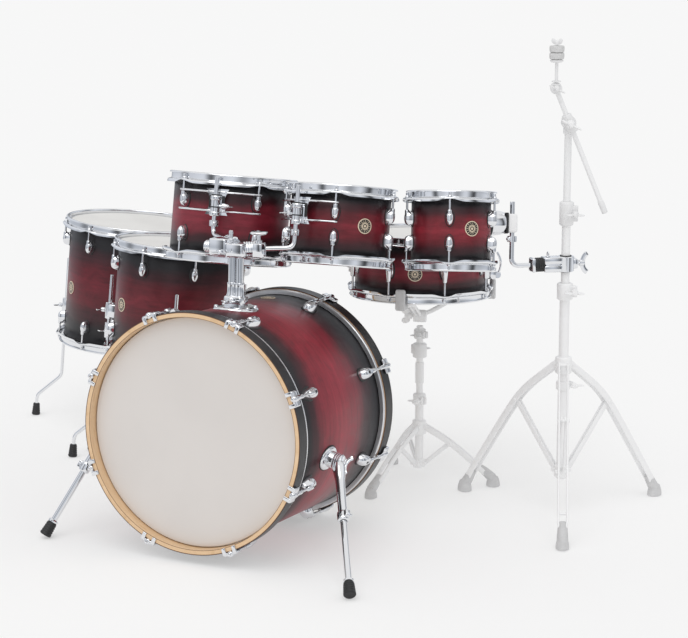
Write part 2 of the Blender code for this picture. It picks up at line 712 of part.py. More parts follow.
def tripod(obj, angles, leg, strut, tube, foot_height, foot_radius):
    """Adds legs, struts and feet, from (radius, height) runs, to a stand's lower tube."""
    def runs(points):
        return [[around(a, r, z).translation for r, z in points] for a in angles]
    join_tubes(obj, obj.name + "_legs", runs(leg), tube, 1)
    join_tubes(obj, obj.name + "_struts", runs(strut), tube * 0.6, 1)

    def feet(bm):
        for angle in angles:
            prism(bm, around(angle, leg[-1][0], 0.0), foot_radius, foot_height, 10, tip=foot_radius * 0.8)
    join(obj, obj.name + "_feet", feet)


def stand_tube(name, size, frame):
    return ring(name, size["r_in"], size["r_out"], size["low"], size["high"], 12, frame, "pale_steel")


def collar(obj, name, low, high, radius, inner):
    """A ring joined round a tube."""
    tool = ring(name, inner, radius, low, high, 12, obj.parent, "pale_steel")
    KIT.objects.unlink(tool)
    CUTTERS.objects.link(tool)
    tool.hide_render = True
    tool.display_type = "WIRE"
    boolean(obj, tool)


def build_snare_stand(snare_matrix):
    """Tripod, sliding centre tube, and a basket that carries the snare drum and tilts."""
    spec = DRUMS["snare"]
    height = drum_height(spec)
    axis = Vector(spec["axis"]).normalized()
    bottom = Vector(spec["top"]) - axis * height
    hub = bottom - axis * ((bottom.z - SNARE_HUB_HEIGHT) / axis.z)
    floor_frame = add_frame("snare_stand_frame", Matrix.Translation((hub.x, hub.y, 0)))
    base = stand_tube("snare_stand_base", SNARE_BASE_TUBE, floor_frame)
    for label, (low, high, radius) in SNARE_BASE_COLLARS.items():
        collar(base, "snare_stand_" + label + "_collar", low, high, radius, 0.0105)
    tripod(base, SNARE_FOOT_ANGLES, SNARE_LEG, SNARE_STRUT, 0.0075, 0.030, 0.017)
    tube_frame = add_frame("snare_stand_height", floor_frame.matrix_world, floor_frame)
    turned("snare_stand_tube",
           [(SNARE_TUBE_OUT, 0.440), (SNARE_TUBE_OUT, 0.346), (SNARE_GRIP, 0.340), (SNARE_GRIP, 0.280),
            (SNARE_TUBE_OUT, 0.274), (SNARE_TUBE_OUT, 0.110), (SNARE_TUBE_IN, 0.110),
            (SNARE_TUBE_IN, 0.440)], 12, tube_frame, "pale_steel")
    tilt_axis = Vector((0, 0, 1)).cross(axis).normalized()
    basket_frame = add_frame("snare_basket_tilt", Matrix.Translation(hub), tube_frame)
    local_drum = basket_frame.matrix_world.inverted() @ snare_matrix
    knuckle = basket_frame.matrix_world.inverted() @ Matrix.Translation(hub - tilt_axis * 0.016)
    knuckle = knuckle @ turn_to(tilt_axis)
    basket = solid("snare_basket", lambda bm: prism(bm, knuckle, 0.0160, 0.032, 12), basket_frame,
                   "pale_steel")
    low = -height - 0.0060
    hub_level = (local_drum.inverted() @ Vector((0, 0, 0))).z
    radius = spec["diameter"] / 2

    def arm_run(angle):
        points = [(0.008, hub_level + 0.004), (0.035, hub_level + 0.014), (0.095, low - 0.004),
                  (radius + 0.026, low)]
        return [local_drum @ around(angle, r, z).translation for r, z in points]
    join_tubes(basket, "basket_arms", [arm_run(angle) for angle in SNARE_ARM_ANGLES], SNARE_ARM)

    def tips(bm):
        for angle in SNARE_ARM_ANGLES:
            block(bm, local_drum @ around(angle), (radius + 0.0205, -0.012, low - 0.008),
                  (radius + 0.034, 0.012, -height + 0.040))
    join(basket, "basket_tips", tips)
    return basket_frame


def build_boom_stand():
    """Tripod and three tubes, the boom with its tilter, and the clamp for the small tom."""
    floor_frame = add_frame("boom_stand_frame", Matrix.Translation(BOOM_STAND))
    base = stand_tube("boom_stand_base", BOOM_BASE_TUBE, floor_frame)
    for label, (low, high, radius) in BOOM_BASE_COLLARS.items():
        collar(base, "boom_stand_" + label + "_collar", low, high, radius, 0.0120)
    tripod(base, BOOM_FOOT_ANGLES, BOOM_LEG, BOOM_STRUT, 0.0085, 0.030, 0.018)
    middle_frame = add_frame("boom_stand_middle_slide", floor_frame.matrix_world, floor_frame)
    middle = stand_tube("boom_stand_middle_tube", MIDDLE_TUBE, middle_frame)
    low, high, radius = MIDDLE_COLLAR
    collar(middle, "middle_top_collar", low, high, radius, 0.0103)
    upper_frame = add_frame("boom_stand_upper_slide", floor_frame.matrix_world, middle_frame)
    upper = stand_tube("boom_stand_upper_tube", UPPER_TUBE, upper_frame)
    head = Vector((0, 0, BOOM_HEAD_HEIGHT))
    join(upper, "boom_head", lambda bm: prism(bm, Matrix.Translation(head - BOOM_SIDE * 0.012)
                                              @ turn_to(BOOM_SIDE), 0.0180, 0.026, 12))
    clamp_frame = add_frame("boom_tilt", Matrix.Translation(BOOM_STAND + head), upper_frame)
    clamp = solid("boom_clamp", lambda bm: prism(bm, Matrix.Translation(BOOM_SIDE * 0.0143)
                                                 @ turn_to(BOOM_SIDE), 0.0170, 0.008, 12),
                  clamp_frame, "pale_steel")
    sleeve = Matrix.Translation(BOOM_SIDE * BOOM_OFFSET - BOOM_LINE * 0.024) @ turn_to(BOOM_LINE)
    join(clamp, "boom_sleeve", lambda bm: prism(bm, sleeve, 0.0125, 0.048, 12))
    bore = sleeve @ Matrix.Translation((0, 0, -0.01))
    join(clamp, "boom_bore", lambda bm: prism(bm, bore, BOOM_ROD + 0.0006, 0.07, 12), "DIFFERENCE")
    rod_frame = add_frame("boom_slide", Matrix.Translation(BOOM_STAND + head + BOOM_SIDE * BOOM_OFFSET),
                          clamp_frame)
    start = Matrix.Translation(-BOOM_LINE * BOOM_BELOW) @ turn_to(BOOM_LINE)
    rod = solid("boom_rod", lambda bm: prism(bm, start, BOOM_ROD, BOOM_BELOW + BOOM_ABOVE, 10), rod_frame,
                "pale_steel")
    pivot = BOOM_LINE * BOOM_ABOVE
    disc = Matrix.Translation(pivot - BOOM_SIDE * 0.006) @ turn_to(BOOM_SIDE)
    join(rod, "boom_disc", lambda bm: prism(bm, disc, 0.0135, 0.012, 12))
    tilter_frame = add_frame("cymbal_tilt", Matrix.Translation(rod_frame.matrix_world.translation + pivot),
                             rod_frame)
    face = Matrix.Translation(BOOM_SIDE * 0.0063) @ turn_to(BOOM_SIDE)
    tilter = solid("cymbal_tilter", lambda bm: prism(bm, face, 0.0145, 0.012, 12), tilter_frame,
                   "pale_steel")
    axis = BOOM_SIDE * 0.0123
    join(tilter, "tilter_stem", lambda bm: prism(bm, Matrix.Translation(axis), 0.0045, 0.115, 8))
    join(tilter, "tilter_felts", lambda bm: prism(bm, Matrix.Translation(axis + Vector((0, 0, 0.074))),
                                                  0.0185, 0.045, 16))
    slide_frame = add_frame("tom_clamp_slide", floor_frame.matrix_world, middle_frame)
    hub = BOOM_STAND + Vector((0, 0, TOM_CLAMP_HEIGHT))
    drum = drum_matrix(DRUMS["tom8"])
    arm = (elbow_of("tom8", drum, hub.z) - hub).normalized()
    turn = Matrix.Translation(hub - BOOM_STAND) @ Matrix.Rotation(math.atan2(arm.y, arm.x), 4, "Z")
    tom_clamp = solid("tom_clamp", lambda bm: block(bm, turn, (-0.022, -0.022, -0.026),
                                                    (0.062, 0.022, 0.026)), slide_frame, "chrome")
    join(tom_clamp, "tom_clamp_tube_bore", lambda bm: prism(
        bm, Matrix.Translation((0, 0, TOM_CLAMP_HEIGHT - 0.04)), 0.0114, 0.08, 12), "DIFFERENCE")
    grip = turn @ Matrix.Translation((0.026, 0, 0)) @ OUTWARDS
    join(tom_clamp, "tom_clamp_rod_bore", lambda bm: prism(bm, grip, L_BORE, 0.06, 10), "DIFFERENCE")
    return slide_frame, hub


def centre_on_origin():
    """Moves the whole kit so that its box stands on the origin's floor, centred in plan."""
    bpy.context.view_layer.update()
    graph = bpy.context.evaluated_depsgraph_get()
    low = Vector((math.inf, math.inf, 0.0))
    high = Vector((-math.inf, -math.inf, 0.0))
    for obj in KIT.objects:
        if obj.type != "MESH":
            continue
        shape = obj.evaluated_get(graph)
        for vertex in shape.data.vertices:
            spot = shape.matrix_world @ vertex.co
            low.x, low.y = min(low.x, spot.x), min(low.y, spot.y)
            high.x, high.y = max(high.x, spot.x), max(high.y, spot.y)
    shift = -(low + high) / 2
    for frame in FRAMES:
        frame.location += Vector((round(shift.x, 4), round(shift.y, 4), 0.0))


def main():
    bass = add_frame("bass_drum", bass_matrix())
    build_bass(bass)
    build_spurs(bass)
    posts, holder = build_holder(bass)
    clamp_slide, stand_hub = build_boom_stand()
    seats = {
        "tom12": (arm_end(holder, ARM_HIGH), 0.022, posts),
        "tom10": (arm_end(holder, ARM_LOW), 0.022, posts),
        "tom8": (stand_hub, 0.032, clamp_slide),
    }
    for name, (hub, reach, carrier) in seats.items():
        matrix = drum_matrix(DRUMS[name])
        swivel = build_l_rod(name, matrix, hub, reach, carrier)
        frame = add_frame(name + "_frame", matrix, swivel)
        shell = build_drum(name, DRUMS[name], frame)
        if name == "tom8":
            build_tom8_block(shell)
        else:
            build_suspension(name, frame)
    for name in FLOOR_LEGS:
        frame = add_frame(name + "_frame", drum_matrix(DRUMS[name]))
        build_floor_legs(name, build_drum(name, DRUMS[name], frame), frame)
    snare_matrix = drum_matrix(DRUMS["snare"])
    snare_frame = add_frame("snare_frame", snare_matrix, build_snare_stand(snare_matrix))
    shell = build_drum("snare", DRUMS["snare"], snare_frame)
    build_strainer(shell, snare_frame)
    centre_on_origin()


main()
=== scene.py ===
"""How the drum kit looks: smooth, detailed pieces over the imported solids, and a plain studio.

Metres. A drum's own frame has its origin at the middle of its top hoop and Z along its axis.
"""

import math

import bmesh
import bpy
import numpy as np
from mathutils import Matrix, Vector


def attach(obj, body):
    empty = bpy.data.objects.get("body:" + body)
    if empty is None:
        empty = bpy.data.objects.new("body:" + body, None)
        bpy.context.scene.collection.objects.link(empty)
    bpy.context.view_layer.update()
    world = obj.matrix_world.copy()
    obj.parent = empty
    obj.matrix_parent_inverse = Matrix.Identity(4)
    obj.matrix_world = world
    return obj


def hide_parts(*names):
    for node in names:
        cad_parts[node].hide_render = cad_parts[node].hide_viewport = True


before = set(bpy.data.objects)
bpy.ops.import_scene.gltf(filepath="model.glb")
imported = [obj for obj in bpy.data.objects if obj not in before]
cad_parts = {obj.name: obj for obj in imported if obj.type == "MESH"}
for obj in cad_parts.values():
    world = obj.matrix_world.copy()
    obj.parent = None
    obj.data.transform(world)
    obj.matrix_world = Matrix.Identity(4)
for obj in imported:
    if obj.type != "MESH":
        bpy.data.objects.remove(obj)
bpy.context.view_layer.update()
SCENE = bpy.context.scene

INCH = 0.0254
SHARP_ANGLE = 38
SHIFT = Vector((0.1724, -0.624, 0.0))

# Every shell's wall and every L-rod's radius. On all drums but the bass drum: the bearing edge
# below the hoop's top, the tension rods outside the shell, the lugs' middle below the hoop's top,
# and half a lug's height
WALL = 0.007
L_ROD = 0.0061
EDGE = 0.011
ROD_OUT = 0.0148
LUG_ROW = 0.0695
LUG_HALF = 0.02

# Each drum: the middle of its top hoop, its axis, its shell's radius and depth, its lugs and the
# first one's angle, its badge's angle and height, and the red in the middle of its shell
# Each drum's red is the same cherry lacquer, set lighter or darker to match how brightly that drum
# is lit: painted light and shade
DRUMS = {
    "tom8": dict(top=(0.409, 0.62, 0.851), axis=(-0.061, 0.163, 0.985), radius=0.1,
                 depth=7 * INCH, lugs=5, first=75, badge=(324, -0.094),
                 lit_red=(0.235, 0.019, 0.031)),
    "tom10": dict(top=(0.158, 0.509, 0.863), axis=(-0.01, 0.185, 0.983), radius=0.126,
                  depth=7 * INCH, lugs=5, first=2, badge=(325, -0.098),
                  lit_red=(0.178, 0.014, 0.024)),
    "tom12": dict(top=(-0.17, 0.539, 0.869), axis=(0.017, 0.156, 0.988), radius=0.1515,
                  depth=8 * INCH, lugs=5, first=34, badge=(148, -0.105),
                  lit_red=(0.27, 0.026, 0.044)),
    "floor14": dict(top=(-0.473, 0.792, 0.637), axis=(0.06, 0.081, 0.995), radius=0.177,
                    depth=12 * INCH, lugs=8, first=41, badge=(238, -0.179),
                    lit_red=(0.155, 0.012, 0.021)),
    "floor16": dict(top=(-0.819, 1.124, 0.629), axis=(0.072, 0.051, 0.996), radius=0.202,
                    depth=14 * INCH, lugs=8, first=34.5, badge=(233, -0.206),
                    lit_red=(0.15, 0.01, 0.02)),
    "snare": dict(top=(0.204, 0.898, 0.699), axis=(-0.014, 0.045, 0.999), radius=0.177,
                  depth=6 * INCH, lugs=8, first=43, badge=(289, -0.096),
                  lit_red=(0.245, 0.02, 0.036)),
}

# Each tom's L-rod: its angle round the drum, how far it stands off the shell, and the heights of
# its end and of its memory collar
ROD_PLACE = {
    "tom8": dict(angle=39, stand_off=0.061, above=-0.022, collar=-0.108),
    "tom10": dict(angle=254, stand_off=0.036, above=-0.01, collar=-0.118),
    "tom12": dict(angle=286, stand_off=0.036, above=-0.008, collar=-0.116),
}

# Each floor tom: its legs' angles and the heights of their brackets and of the rods' ends. Then how
# far outside the shell a leg's rod and its foot are, its knee above the floor, and the foot's
# radius and length
FLOOR_LEGS = {
    "floor14": dict(angles=(298, 56, 188), bracket=-0.222, rod_top=-0.121),
    "floor16": dict(angles=(284, 48, 183), bracket=-0.297, rod_top=-0.149),
}
LEG_OFFSET = 0.03
LEG_SPLAY = 0.112
LEG_KNEE = 0.056
LEG_FOOT = (0.013, 0.036)

# Bass drum: the shell's radius, the length with both hoops, how far the front is tilted up, each
# hoop's inner and outer radius and depth, the bearing edge behind the hoop's face, the T-rods'
# distance from the axis, the lugs' middle behind the hoop's face, and the badge's angle and place
BASS_RADIUS = 11 * INCH
BASS_LENGTH = 0.52
BASS_TILT = math.radians(2.64)
BASS_HOOP = (0.2822, 0.295, 0.038)
BASS_EDGE = 0.0268
BASS_ROD = 0.3
BASS_LUG_ROW = 0.105
BASS_BADGE = (92, -0.408)
# The bass drum's red: the same cherry lacquer as the other drums, set brighter to match how
# brightly the bass drum is lit: painted light
BASS_LIT_RED = (0.29, 0.024, 0.04)

# Each spur: its angle round the shell, how far behind the front it is, its foot's place on the
# floor, and its side. Then how far off the shell it starts, its foot's radius and length, and the
# shares of its length where the sleeve ends and where the inner leg starts
SPURS = ((-13, 0.195, (0.465, -0.085), "left"), (184, 0.16, (-0.43, 0.01), "right"))
SPUR_STAND = 0.03
SPUR_FOOT = (0.015, 0.036)
SPUR_SLEEVE_SHARE = 0.46
SPUR_LEG_SHARE = 0.28

# Tom holder: how far behind the front it is, its two tubes off its middle, and its arms' heights
HOLDER_INSET = 0.22
POST_SPREAD = 0.0105
ARMS = {"tom12": 0.158, "tom10": 0.143}

# Boom stand: its place, its head's height, the boom's direction, the axis of its hinges, the boom
# from the stand along that axis, and the tilter's distance up the boom. The tripod's angles, the
# lines of a leg and a strut as (radius, height), and a foot's radius and height
STAND = Vector((0.657, 0.784, 0.0)) + SHIFT
HEAD_HEIGHT = 1.022
BOOM_LINE = Vector((-0.345, -0.166, 0.924)).normalized()
BOOM_SIDE = Vector((0.434, -0.901, 0.0)).normalized()
BOOM_OFFSET = 0.03
BOOM_PIVOT = 0.096
BOOM_FOOT_ANGLES = (-69, 57, 165)
BOOM_LEG = [(0.0185, 0.399), (0.12, 0.317), (0.165, 0.256), (0.265, 0.1), (0.315, 0.018)]
BOOM_STRUT = [(0.0175, 0.116), (0.145, 0.284)]
BOOM_FOOT = (0.018, 0.026)
TOM_CLAMP_HEIGHT = 0.661

# Snare drum: the strainer's angle, its lever's pivot outside the shell and in height, the radius of
# the wires' coils, and the height where its stand's basket is hinged. The tripod's and the basket
# arms' angles, then the same as for the boom stand
STRAINER_ANGLE = 20.5
LEVER_PIVOT = (0.031, -0.116)
WIRE_CURL = 0.00022
SNARE_HUB_HEIGHT = 0.467
SNARE_FOOT_ANGLES = (15, 135, 255)
SNARE_ARM_ANGLES = (39, 159, 279)
SNARE_LEG = [(0.016, 0.16), (0.085, 0.12), (0.15, 0.066), (0.205, 0.02)]
SNARE_STRUT = [(0.0155, 0.056), (0.085, 0.114)]
SNARE_FOOT = (0.0165, 0.024)

# The camera fitted to the photograph: its place, lens and sensor in mm, its drop in degrees and
# its turn in radians
CAMERA_AT = (2.60755, -4.80137, 1.5672)
CAMERA_LENS = 108.99
CAMERA_SENSOR = 36.0
CAMERA_DROP = 11.339
CAMERA_TURN = 0.4516

# Light, floor and the room that only reflections see: its radius, height, and (turn, grey) bands
FLOOR_HALF = 90.0
FLOOR_GREY = 0.55
FLOOR_GLOW = 0.4
BACKDROP_GREY = 0.93
FILL_LEVEL = 0.72
SUN_LEVEL = 0.92
SUN_SPREAD = 0.9
SUN_FROM = (0.15, -0.62, 1.0)
ROOM_RADIUS = 4.2
ROOM_HEIGHT = 3.4
ROOM_TINT = (0.93, 0.955, 1.0)
ROOM_BANDS = ((0.0, 0.92), (0.045, 0.42), (0.085, 0.86), (0.17, 0.96), (0.215, 0.16), (0.25, 0.74),
              (0.32, 0.98), (0.375, 0.46), (0.43, 0.92), (0.485, 0.1), (0.515, 0.66), (0.6, 0.98),
              (0.655, 0.36), (0.7, 0.9), (0.79, 0.98), (0.835, 0.14), (0.865, 0.72), (0.93, 0.98),
              (1.0, 0.92))


# Frames

def turn_to(direction):
    """Rotation that carries +Z to the direction."""
    return Vector((0, 0, 1)).rotation_difference(Vector(direction)).to_matrix().to_4x4()


def spin(axis, degrees):
    return Matrix.Rotation(math.radians(degrees), 4, axis)


def shift(x, y, z):
    return Matrix.Translation((x, y, z))


def around(angle, radius=0.0, height=0.0):
    """At an angle on a drum or stand: X points outwards and Z along the axis."""
    return spin("Z", angle) @ shift(radius, 0, height)


def between(start, end):
    """At the start, with Z pointing to the end, and the length."""
    line = Vector(end) - Vector(start)
    return Matrix.Translation(start) @ turn_to(line.normalized()), line.length


OUTWARDS = spin("Y", 90)


def drum_frame(name):
    spec = DRUMS[name]
    place = Matrix.Translation(Vector(spec["top"]) + SHIFT)
    return place @ turn_to(Vector(spec["axis"]).normalized())


def drum_height(name):
    return DRUMS[name]["depth"] + 2 * EDGE


def lug_angles(name):
    spec = DRUMS[name]
    return [spec["first"] + k * 360 / spec["lugs"] for k in range(spec["lugs"])]


def bass_frame():
    rise = BASS_LENGTH * math.sin(BASS_TILT) + BASS_HOOP[1] * math.cos(BASS_TILT)
    place = Matrix.Translation(SHIFT + Vector((0, 0, rise)))
    return place @ spin("X", 90 - math.degrees(BASS_TILT))


BASS = bass_frame()
HOLDER = BASS @ shift(0, BASS_RADIUS, -HOLDER_INSET) @ spin("X", -90)


def rod_line(name):
    """A point of the L-rod's upright, level with the top hoop, and the upright's direction."""
    spot = ROD_PLACE[name]
    drum = drum_frame(name)
    local = around(spot["angle"], DRUMS[name]["radius"] + spot["stand_off"]).translation
    return drum @ local, (drum.to_3x3() @ Vector((0, 0, 1))).normalized()


def hub_of(name):
    if name == "tom8":
        return STAND + Vector((0, 0, TOM_CLAMP_HEIGHT))
    return HOLDER @ Vector((0, 0, ARMS[name]))


def elbow_of(name):
    point, axis = rod_line(name)
    return point + axis * ((hub_of(name).z - point.z) / axis.z)


# Mesh building

class Shape:
    """Points and faces gathered in one frame, each face with the number of its material."""

    def __init__(self):
        self.points = []
        self.faces = []
        self.looks = []
        self.look = 0

    def add(self, points, faces, matrix=Matrix()):
        start = len(self.points)
        spots = np.array(points, float).reshape(-1, 3)
        full = np.array(matrix)
        self.points.extend((spots @ full[:3, :3].T + full[:3, 3]).tolist())
        self.faces.extend(tuple(start + i for i in face) for face in faces)
        self.looks.extend([self.look] * len(faces))


def grid_faces(rows, columns, wrap_rows, wrap_columns):
    faces = []
    for i in range(rows if wrap_rows else rows - 1):
        low, high = i * columns, (i + 1) % rows * columns
        for j in range(columns if wrap_columns else columns - 1):
            k = (j + 1) % columns
            faces.append((low + j, low + k, high + k, high + j))
    return faces


def rounded(line, rounds=2):
    """The line with its corners cut again and again, which makes them round."""
    line = np.array(line, float)
    for _ in range(rounds):
        before, after = line[:-1], line[1:]
        cut = np.empty((2 * len(before), line.shape[1]))
        cut[0::2] = before * 0.75 + after * 0.25
        cut[1::2] = before * 0.25 + after * 0.75
        line = np.concatenate([line[:1], cut, line[-1:]])
    return line


def sheet_section(line, thickness):
    """Closed section of a sheet that follows the line."""
    line = np.array(line, float)
    step = np.gradient(line, axis=0)
    side = np.stack([-step[:, 1], step[:, 0]], 1)
    side *= thickness / 2 / np.linalg.norm(side, axis=1)[:, None]
    return np.concatenate([line + side, (line - side)[::-1]])


def ring(shape, section, matrix=Matrix(), steps=128):
    """A closed section swept round Z. One that changes is given as a function of the angle."""
    points = []
    for k in range(steps):
        turn = 2 * math.pi * k / steps
        line = section(turn) if callable(section) else section
        c, s = math.cos(turn), math.sin(turn)
        points.extend((r * c, r * s, z) for r, z in line)
    shape.add(points, grid_faces(steps, len(line), True, True), matrix)


def lathe(shape, section, matrix=Matrix(), steps=40):
    """A turned piece from a line of (radius, height) that starts and ends on the axis."""
    points = []
    for k in range(steps):
        turn = 2 * math.pi * k / steps
        points.extend((r * math.cos(turn), r * math.sin(turn), z) for r, z in section)
    shape.add(points, grid_faces(steps, len(section), True, False), matrix)


def soft_lathe(shape, line, matrix=Matrix(), steps=40):
    """A turned piece whose line has its corners cut once."""
    lathe(shape, rounded(line, 1), matrix, steps)


def disc(shape, matrix, radius, low, high, inset, edge, steps=36):
    """A turned disc or barrel with the same soft edge at both ends."""
    soft_lathe(shape, [(0, low), (radius - inset, low), (radius, low + edge),
                       (radius, high - edge), (radius - inset, high), (0, high)], matrix, steps)


def pin(shape, matrix, radius, low, high, edge=0.0006, steps=24, tip=None):
    """A cylinder or cone with broken edges."""
    end = radius if tip is None else tip
    lathe(shape, [(0, low), (radius - edge, low), (radius, low + edge), (end, high - edge),
                  (end - edge, high), (0, high)], matrix, steps)


def cap(shape, matrix, radius, low, high, steps=28):
    """A cylinder with a domed end."""
    line = [(0, low), (radius, low)]
    rise = min(radius, high - low) * 0.8
    for k in range(7):
        turn = math.pi / 2 * k / 6
        line.append((radius * math.cos(turn), high - rise + rise * math.sin(turn)))
    lathe(shape, line, matrix, steps)


def ball(shape, matrix, x, y, z, steps=20):
    line = [(math.sin(math.pi * k / 12), -math.cos(math.pi * k / 12)) for k in range(13)]
    lathe(shape, line, matrix @ Matrix.Diagonal((x, y, z, 1)), steps)


def box(shape, matrix, low, high, edge=0.002, segments=3):
    """A block with rounded edges."""
    low, high = Vector(low), Vector(high)
    bm = bmesh.new()
    bmesh.ops.create_cube(bm, size=1.0, matrix=Matrix.Translation((low + high) / 2)
                          @ Matrix.Diagonal((*(high - low), 1)))
    bmesh.ops.bevel(bm, geom=bm.edges[:], offset=edge, segments=segments, profile=0.5,
                    affect="EDGES")
    bm.verts.index_update()
    shape.add([v.co[:] for v in bm.verts], [[v.index for v in f.verts] for f in bm.faces], matrix)
    bm.free()


def filleted(path, bend, steps=7):
    """The path with each corner replaced by a curve that starts the bend's length before it."""
    path = [Vector(p) for p in path]
    made = [path[0]]
    for before, corner, after in zip(path, path[1:], path[2:]):
        first = min(bend, (corner - before).length * 0.49)
        last = min(bend, (after - corner).length * 0.49)
        a = corner + (before - corner).normalized() * first
        b = corner + (after - corner).normalized() * last
        for k in range(steps + 1):
            t = k / steps
            made.append(a * (1 - t) ** 2 + corner * 2 * t * (1 - t) + b * t * t)
    made.append(path[-1])
    return made


def tube(shape, path, radius, matrix=Matrix(), sides=16, flat=None, side=None, square=2.0):
    """A bar along a path. If it isn't round, flat is its half thickness towards side."""
    path = [Vector(p) for p in path]
    radii = radius if isinstance(radius, (list, tuple)) else [radius] * len(path)
    steps = [(b - a).normalized() for a, b in zip(path, path[1:])]
    steps = [steps[0]] + [(a + b).normalized() for a, b in zip(steps, steps[1:])] + [steps[-1]]
    over = Vector(side) if side else steps[0].orthogonal()
    rings = []
    rows = [(path[0] - steps[0] * radii[0] * 0.16, 0, 0.8),
            *((p, i, 1.0) for i, p in enumerate(path)),
            (path[-1] + steps[-1] * radii[-1] * 0.16, len(path) - 1, 0.8)]
    for spot, index, share in rows:
        along = steps[index]
        over = (over - along * over.dot(along)).normalized()
        cross = along.cross(over)
        wide = radii[index] * share
        thin = (flat if flat else radii[index]) * share
        for k in range(sides):
            turn = 2 * math.pi * k / sides
            c, s = math.cos(turn), math.sin(turn)
            c = math.copysign(abs(c) ** (2 / square), c)
            s = math.copysign(abs(s) ** (2 / square), s)
            rings.append(spot + cross * c * wide + over * s * thin)
    count = len(rows)
    faces = grid_faces(count, sides, False, True)
    faces.append(tuple(reversed(range(sides))))
    faces.append(tuple((count - 1) * sides + k for k in range(sides)))
    shape.add([p[:] for p in rings], faces, matrix)


def bump_patch(shape, matrix, half_height, half_width, stand, taper=0.0, sink=0.002, power=2.6):
    """A smooth egg-shaped boss on a face: X is out of the face and Z runs along the egg."""
    rings, spokes = 10, 32
    points = []
    for k in range(rings + 2):
        share = math.sin(math.pi / 2 * min(k, rings) / rings)
        rise = stand * max(0.0, 1 - share ** power) ** (1 / 2.2) if k <= rings else -sink
        for j in range(spokes):
            turn = 2 * math.pi * j / spokes
            along = share * math.cos(turn)
            across = share * math.sin(turn) * (1 + taper * along)
            points.append((rise, half_width * across, half_height * along))
    shape.add(points, grid_faces(rings + 2, spokes, False, True)
              + [tuple((rings + 1) * spokes + j for j in range(spokes))], matrix)


def wing_screw(shape, matrix, size=1.0, stem=0.012):
    """A screw along Z with two rounded wings at its end."""
    pin(shape, matrix, 0.0032 * size, -0.004, stem)
    lathe(shape, [(0, stem), (0.0062 * size, stem), (0.0066 * size, stem + 0.002 * size),
                  (0.0048 * size, stem + 0.012 * size), (0.003 * size, stem + 0.014 * size),
                  (0, stem + 0.0145 * size)], matrix, 24)
    for way in (-1, 1):
        wing = matrix @ shift(way * 0.0098 * size, 0, stem + 0.012 * size) @ spin("Y", way * 28)
        ball(shape, wing, 0.0068 * size, 0.0019 * size, 0.009 * size)


def wing_bar(shape, matrix, size=1.0, stem=0.01):
    """A screw along Z with one flat, bowed bar across its end."""
    pin(shape, matrix, 0.0032 * size, -0.004, stem)
    pin(shape, matrix, 0.006 * size, stem - 0.002 * size, stem + 0.0075 * size, 0.0012)
    path = [(size * 0.019 * math.sin(t), 0, stem + size * (0.019 - 0.014 * math.cos(t)))
            for t in (-1.2 + 0.2 * k for k in range(13))]
    tube(shape, path, 0.005 * size, matrix, sides=14, flat=0.0017 * size, side=(0, 1, 0), square=3)


def bolt(shape, matrix, radius, high):
    """A square-headed key bolt along Z, on a round collar."""
    pin(shape, matrix, radius, 0, high * 0.4, 0.0004)
    half = radius * 0.52
    box(shape, matrix, (-half, -half, high * 0.3), (half, half, high), 0.0005, 2)


def piece(name, shape, matrix, looks, body, replaces=()):
    """One piece that rides on a body and stands for the CAD nodes that it replaces."""
    mesh = bpy.data.meshes.new(name)
    mesh.from_pydata(shape.points, [], shape.faces)
    for look in looks:
        mesh.materials.append(look.material)
    mesh.polygons.foreach_set("material_index", shape.looks)
    bm = bmesh.new()
    bm.from_mesh(mesh)
    bmesh.ops.remove_doubles(bm, verts=bm.verts, dist=0.000002)
    bmesh.ops.recalc_face_normals(bm, faces=bm.faces)
    bm.to_mesh(mesh)
    bm.free()
    mesh.shade_smooth()
    mesh.set_sharp_from_angle(angle=math.radians(SHARP_ANGLE))
    obj = bpy.data.objects.new(name, mesh)
    SCENE.collection.objects.link(obj)
    obj.matrix_world = matrix
    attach(obj, body)
    if replaces:
        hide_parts(*replaces)


# Materials

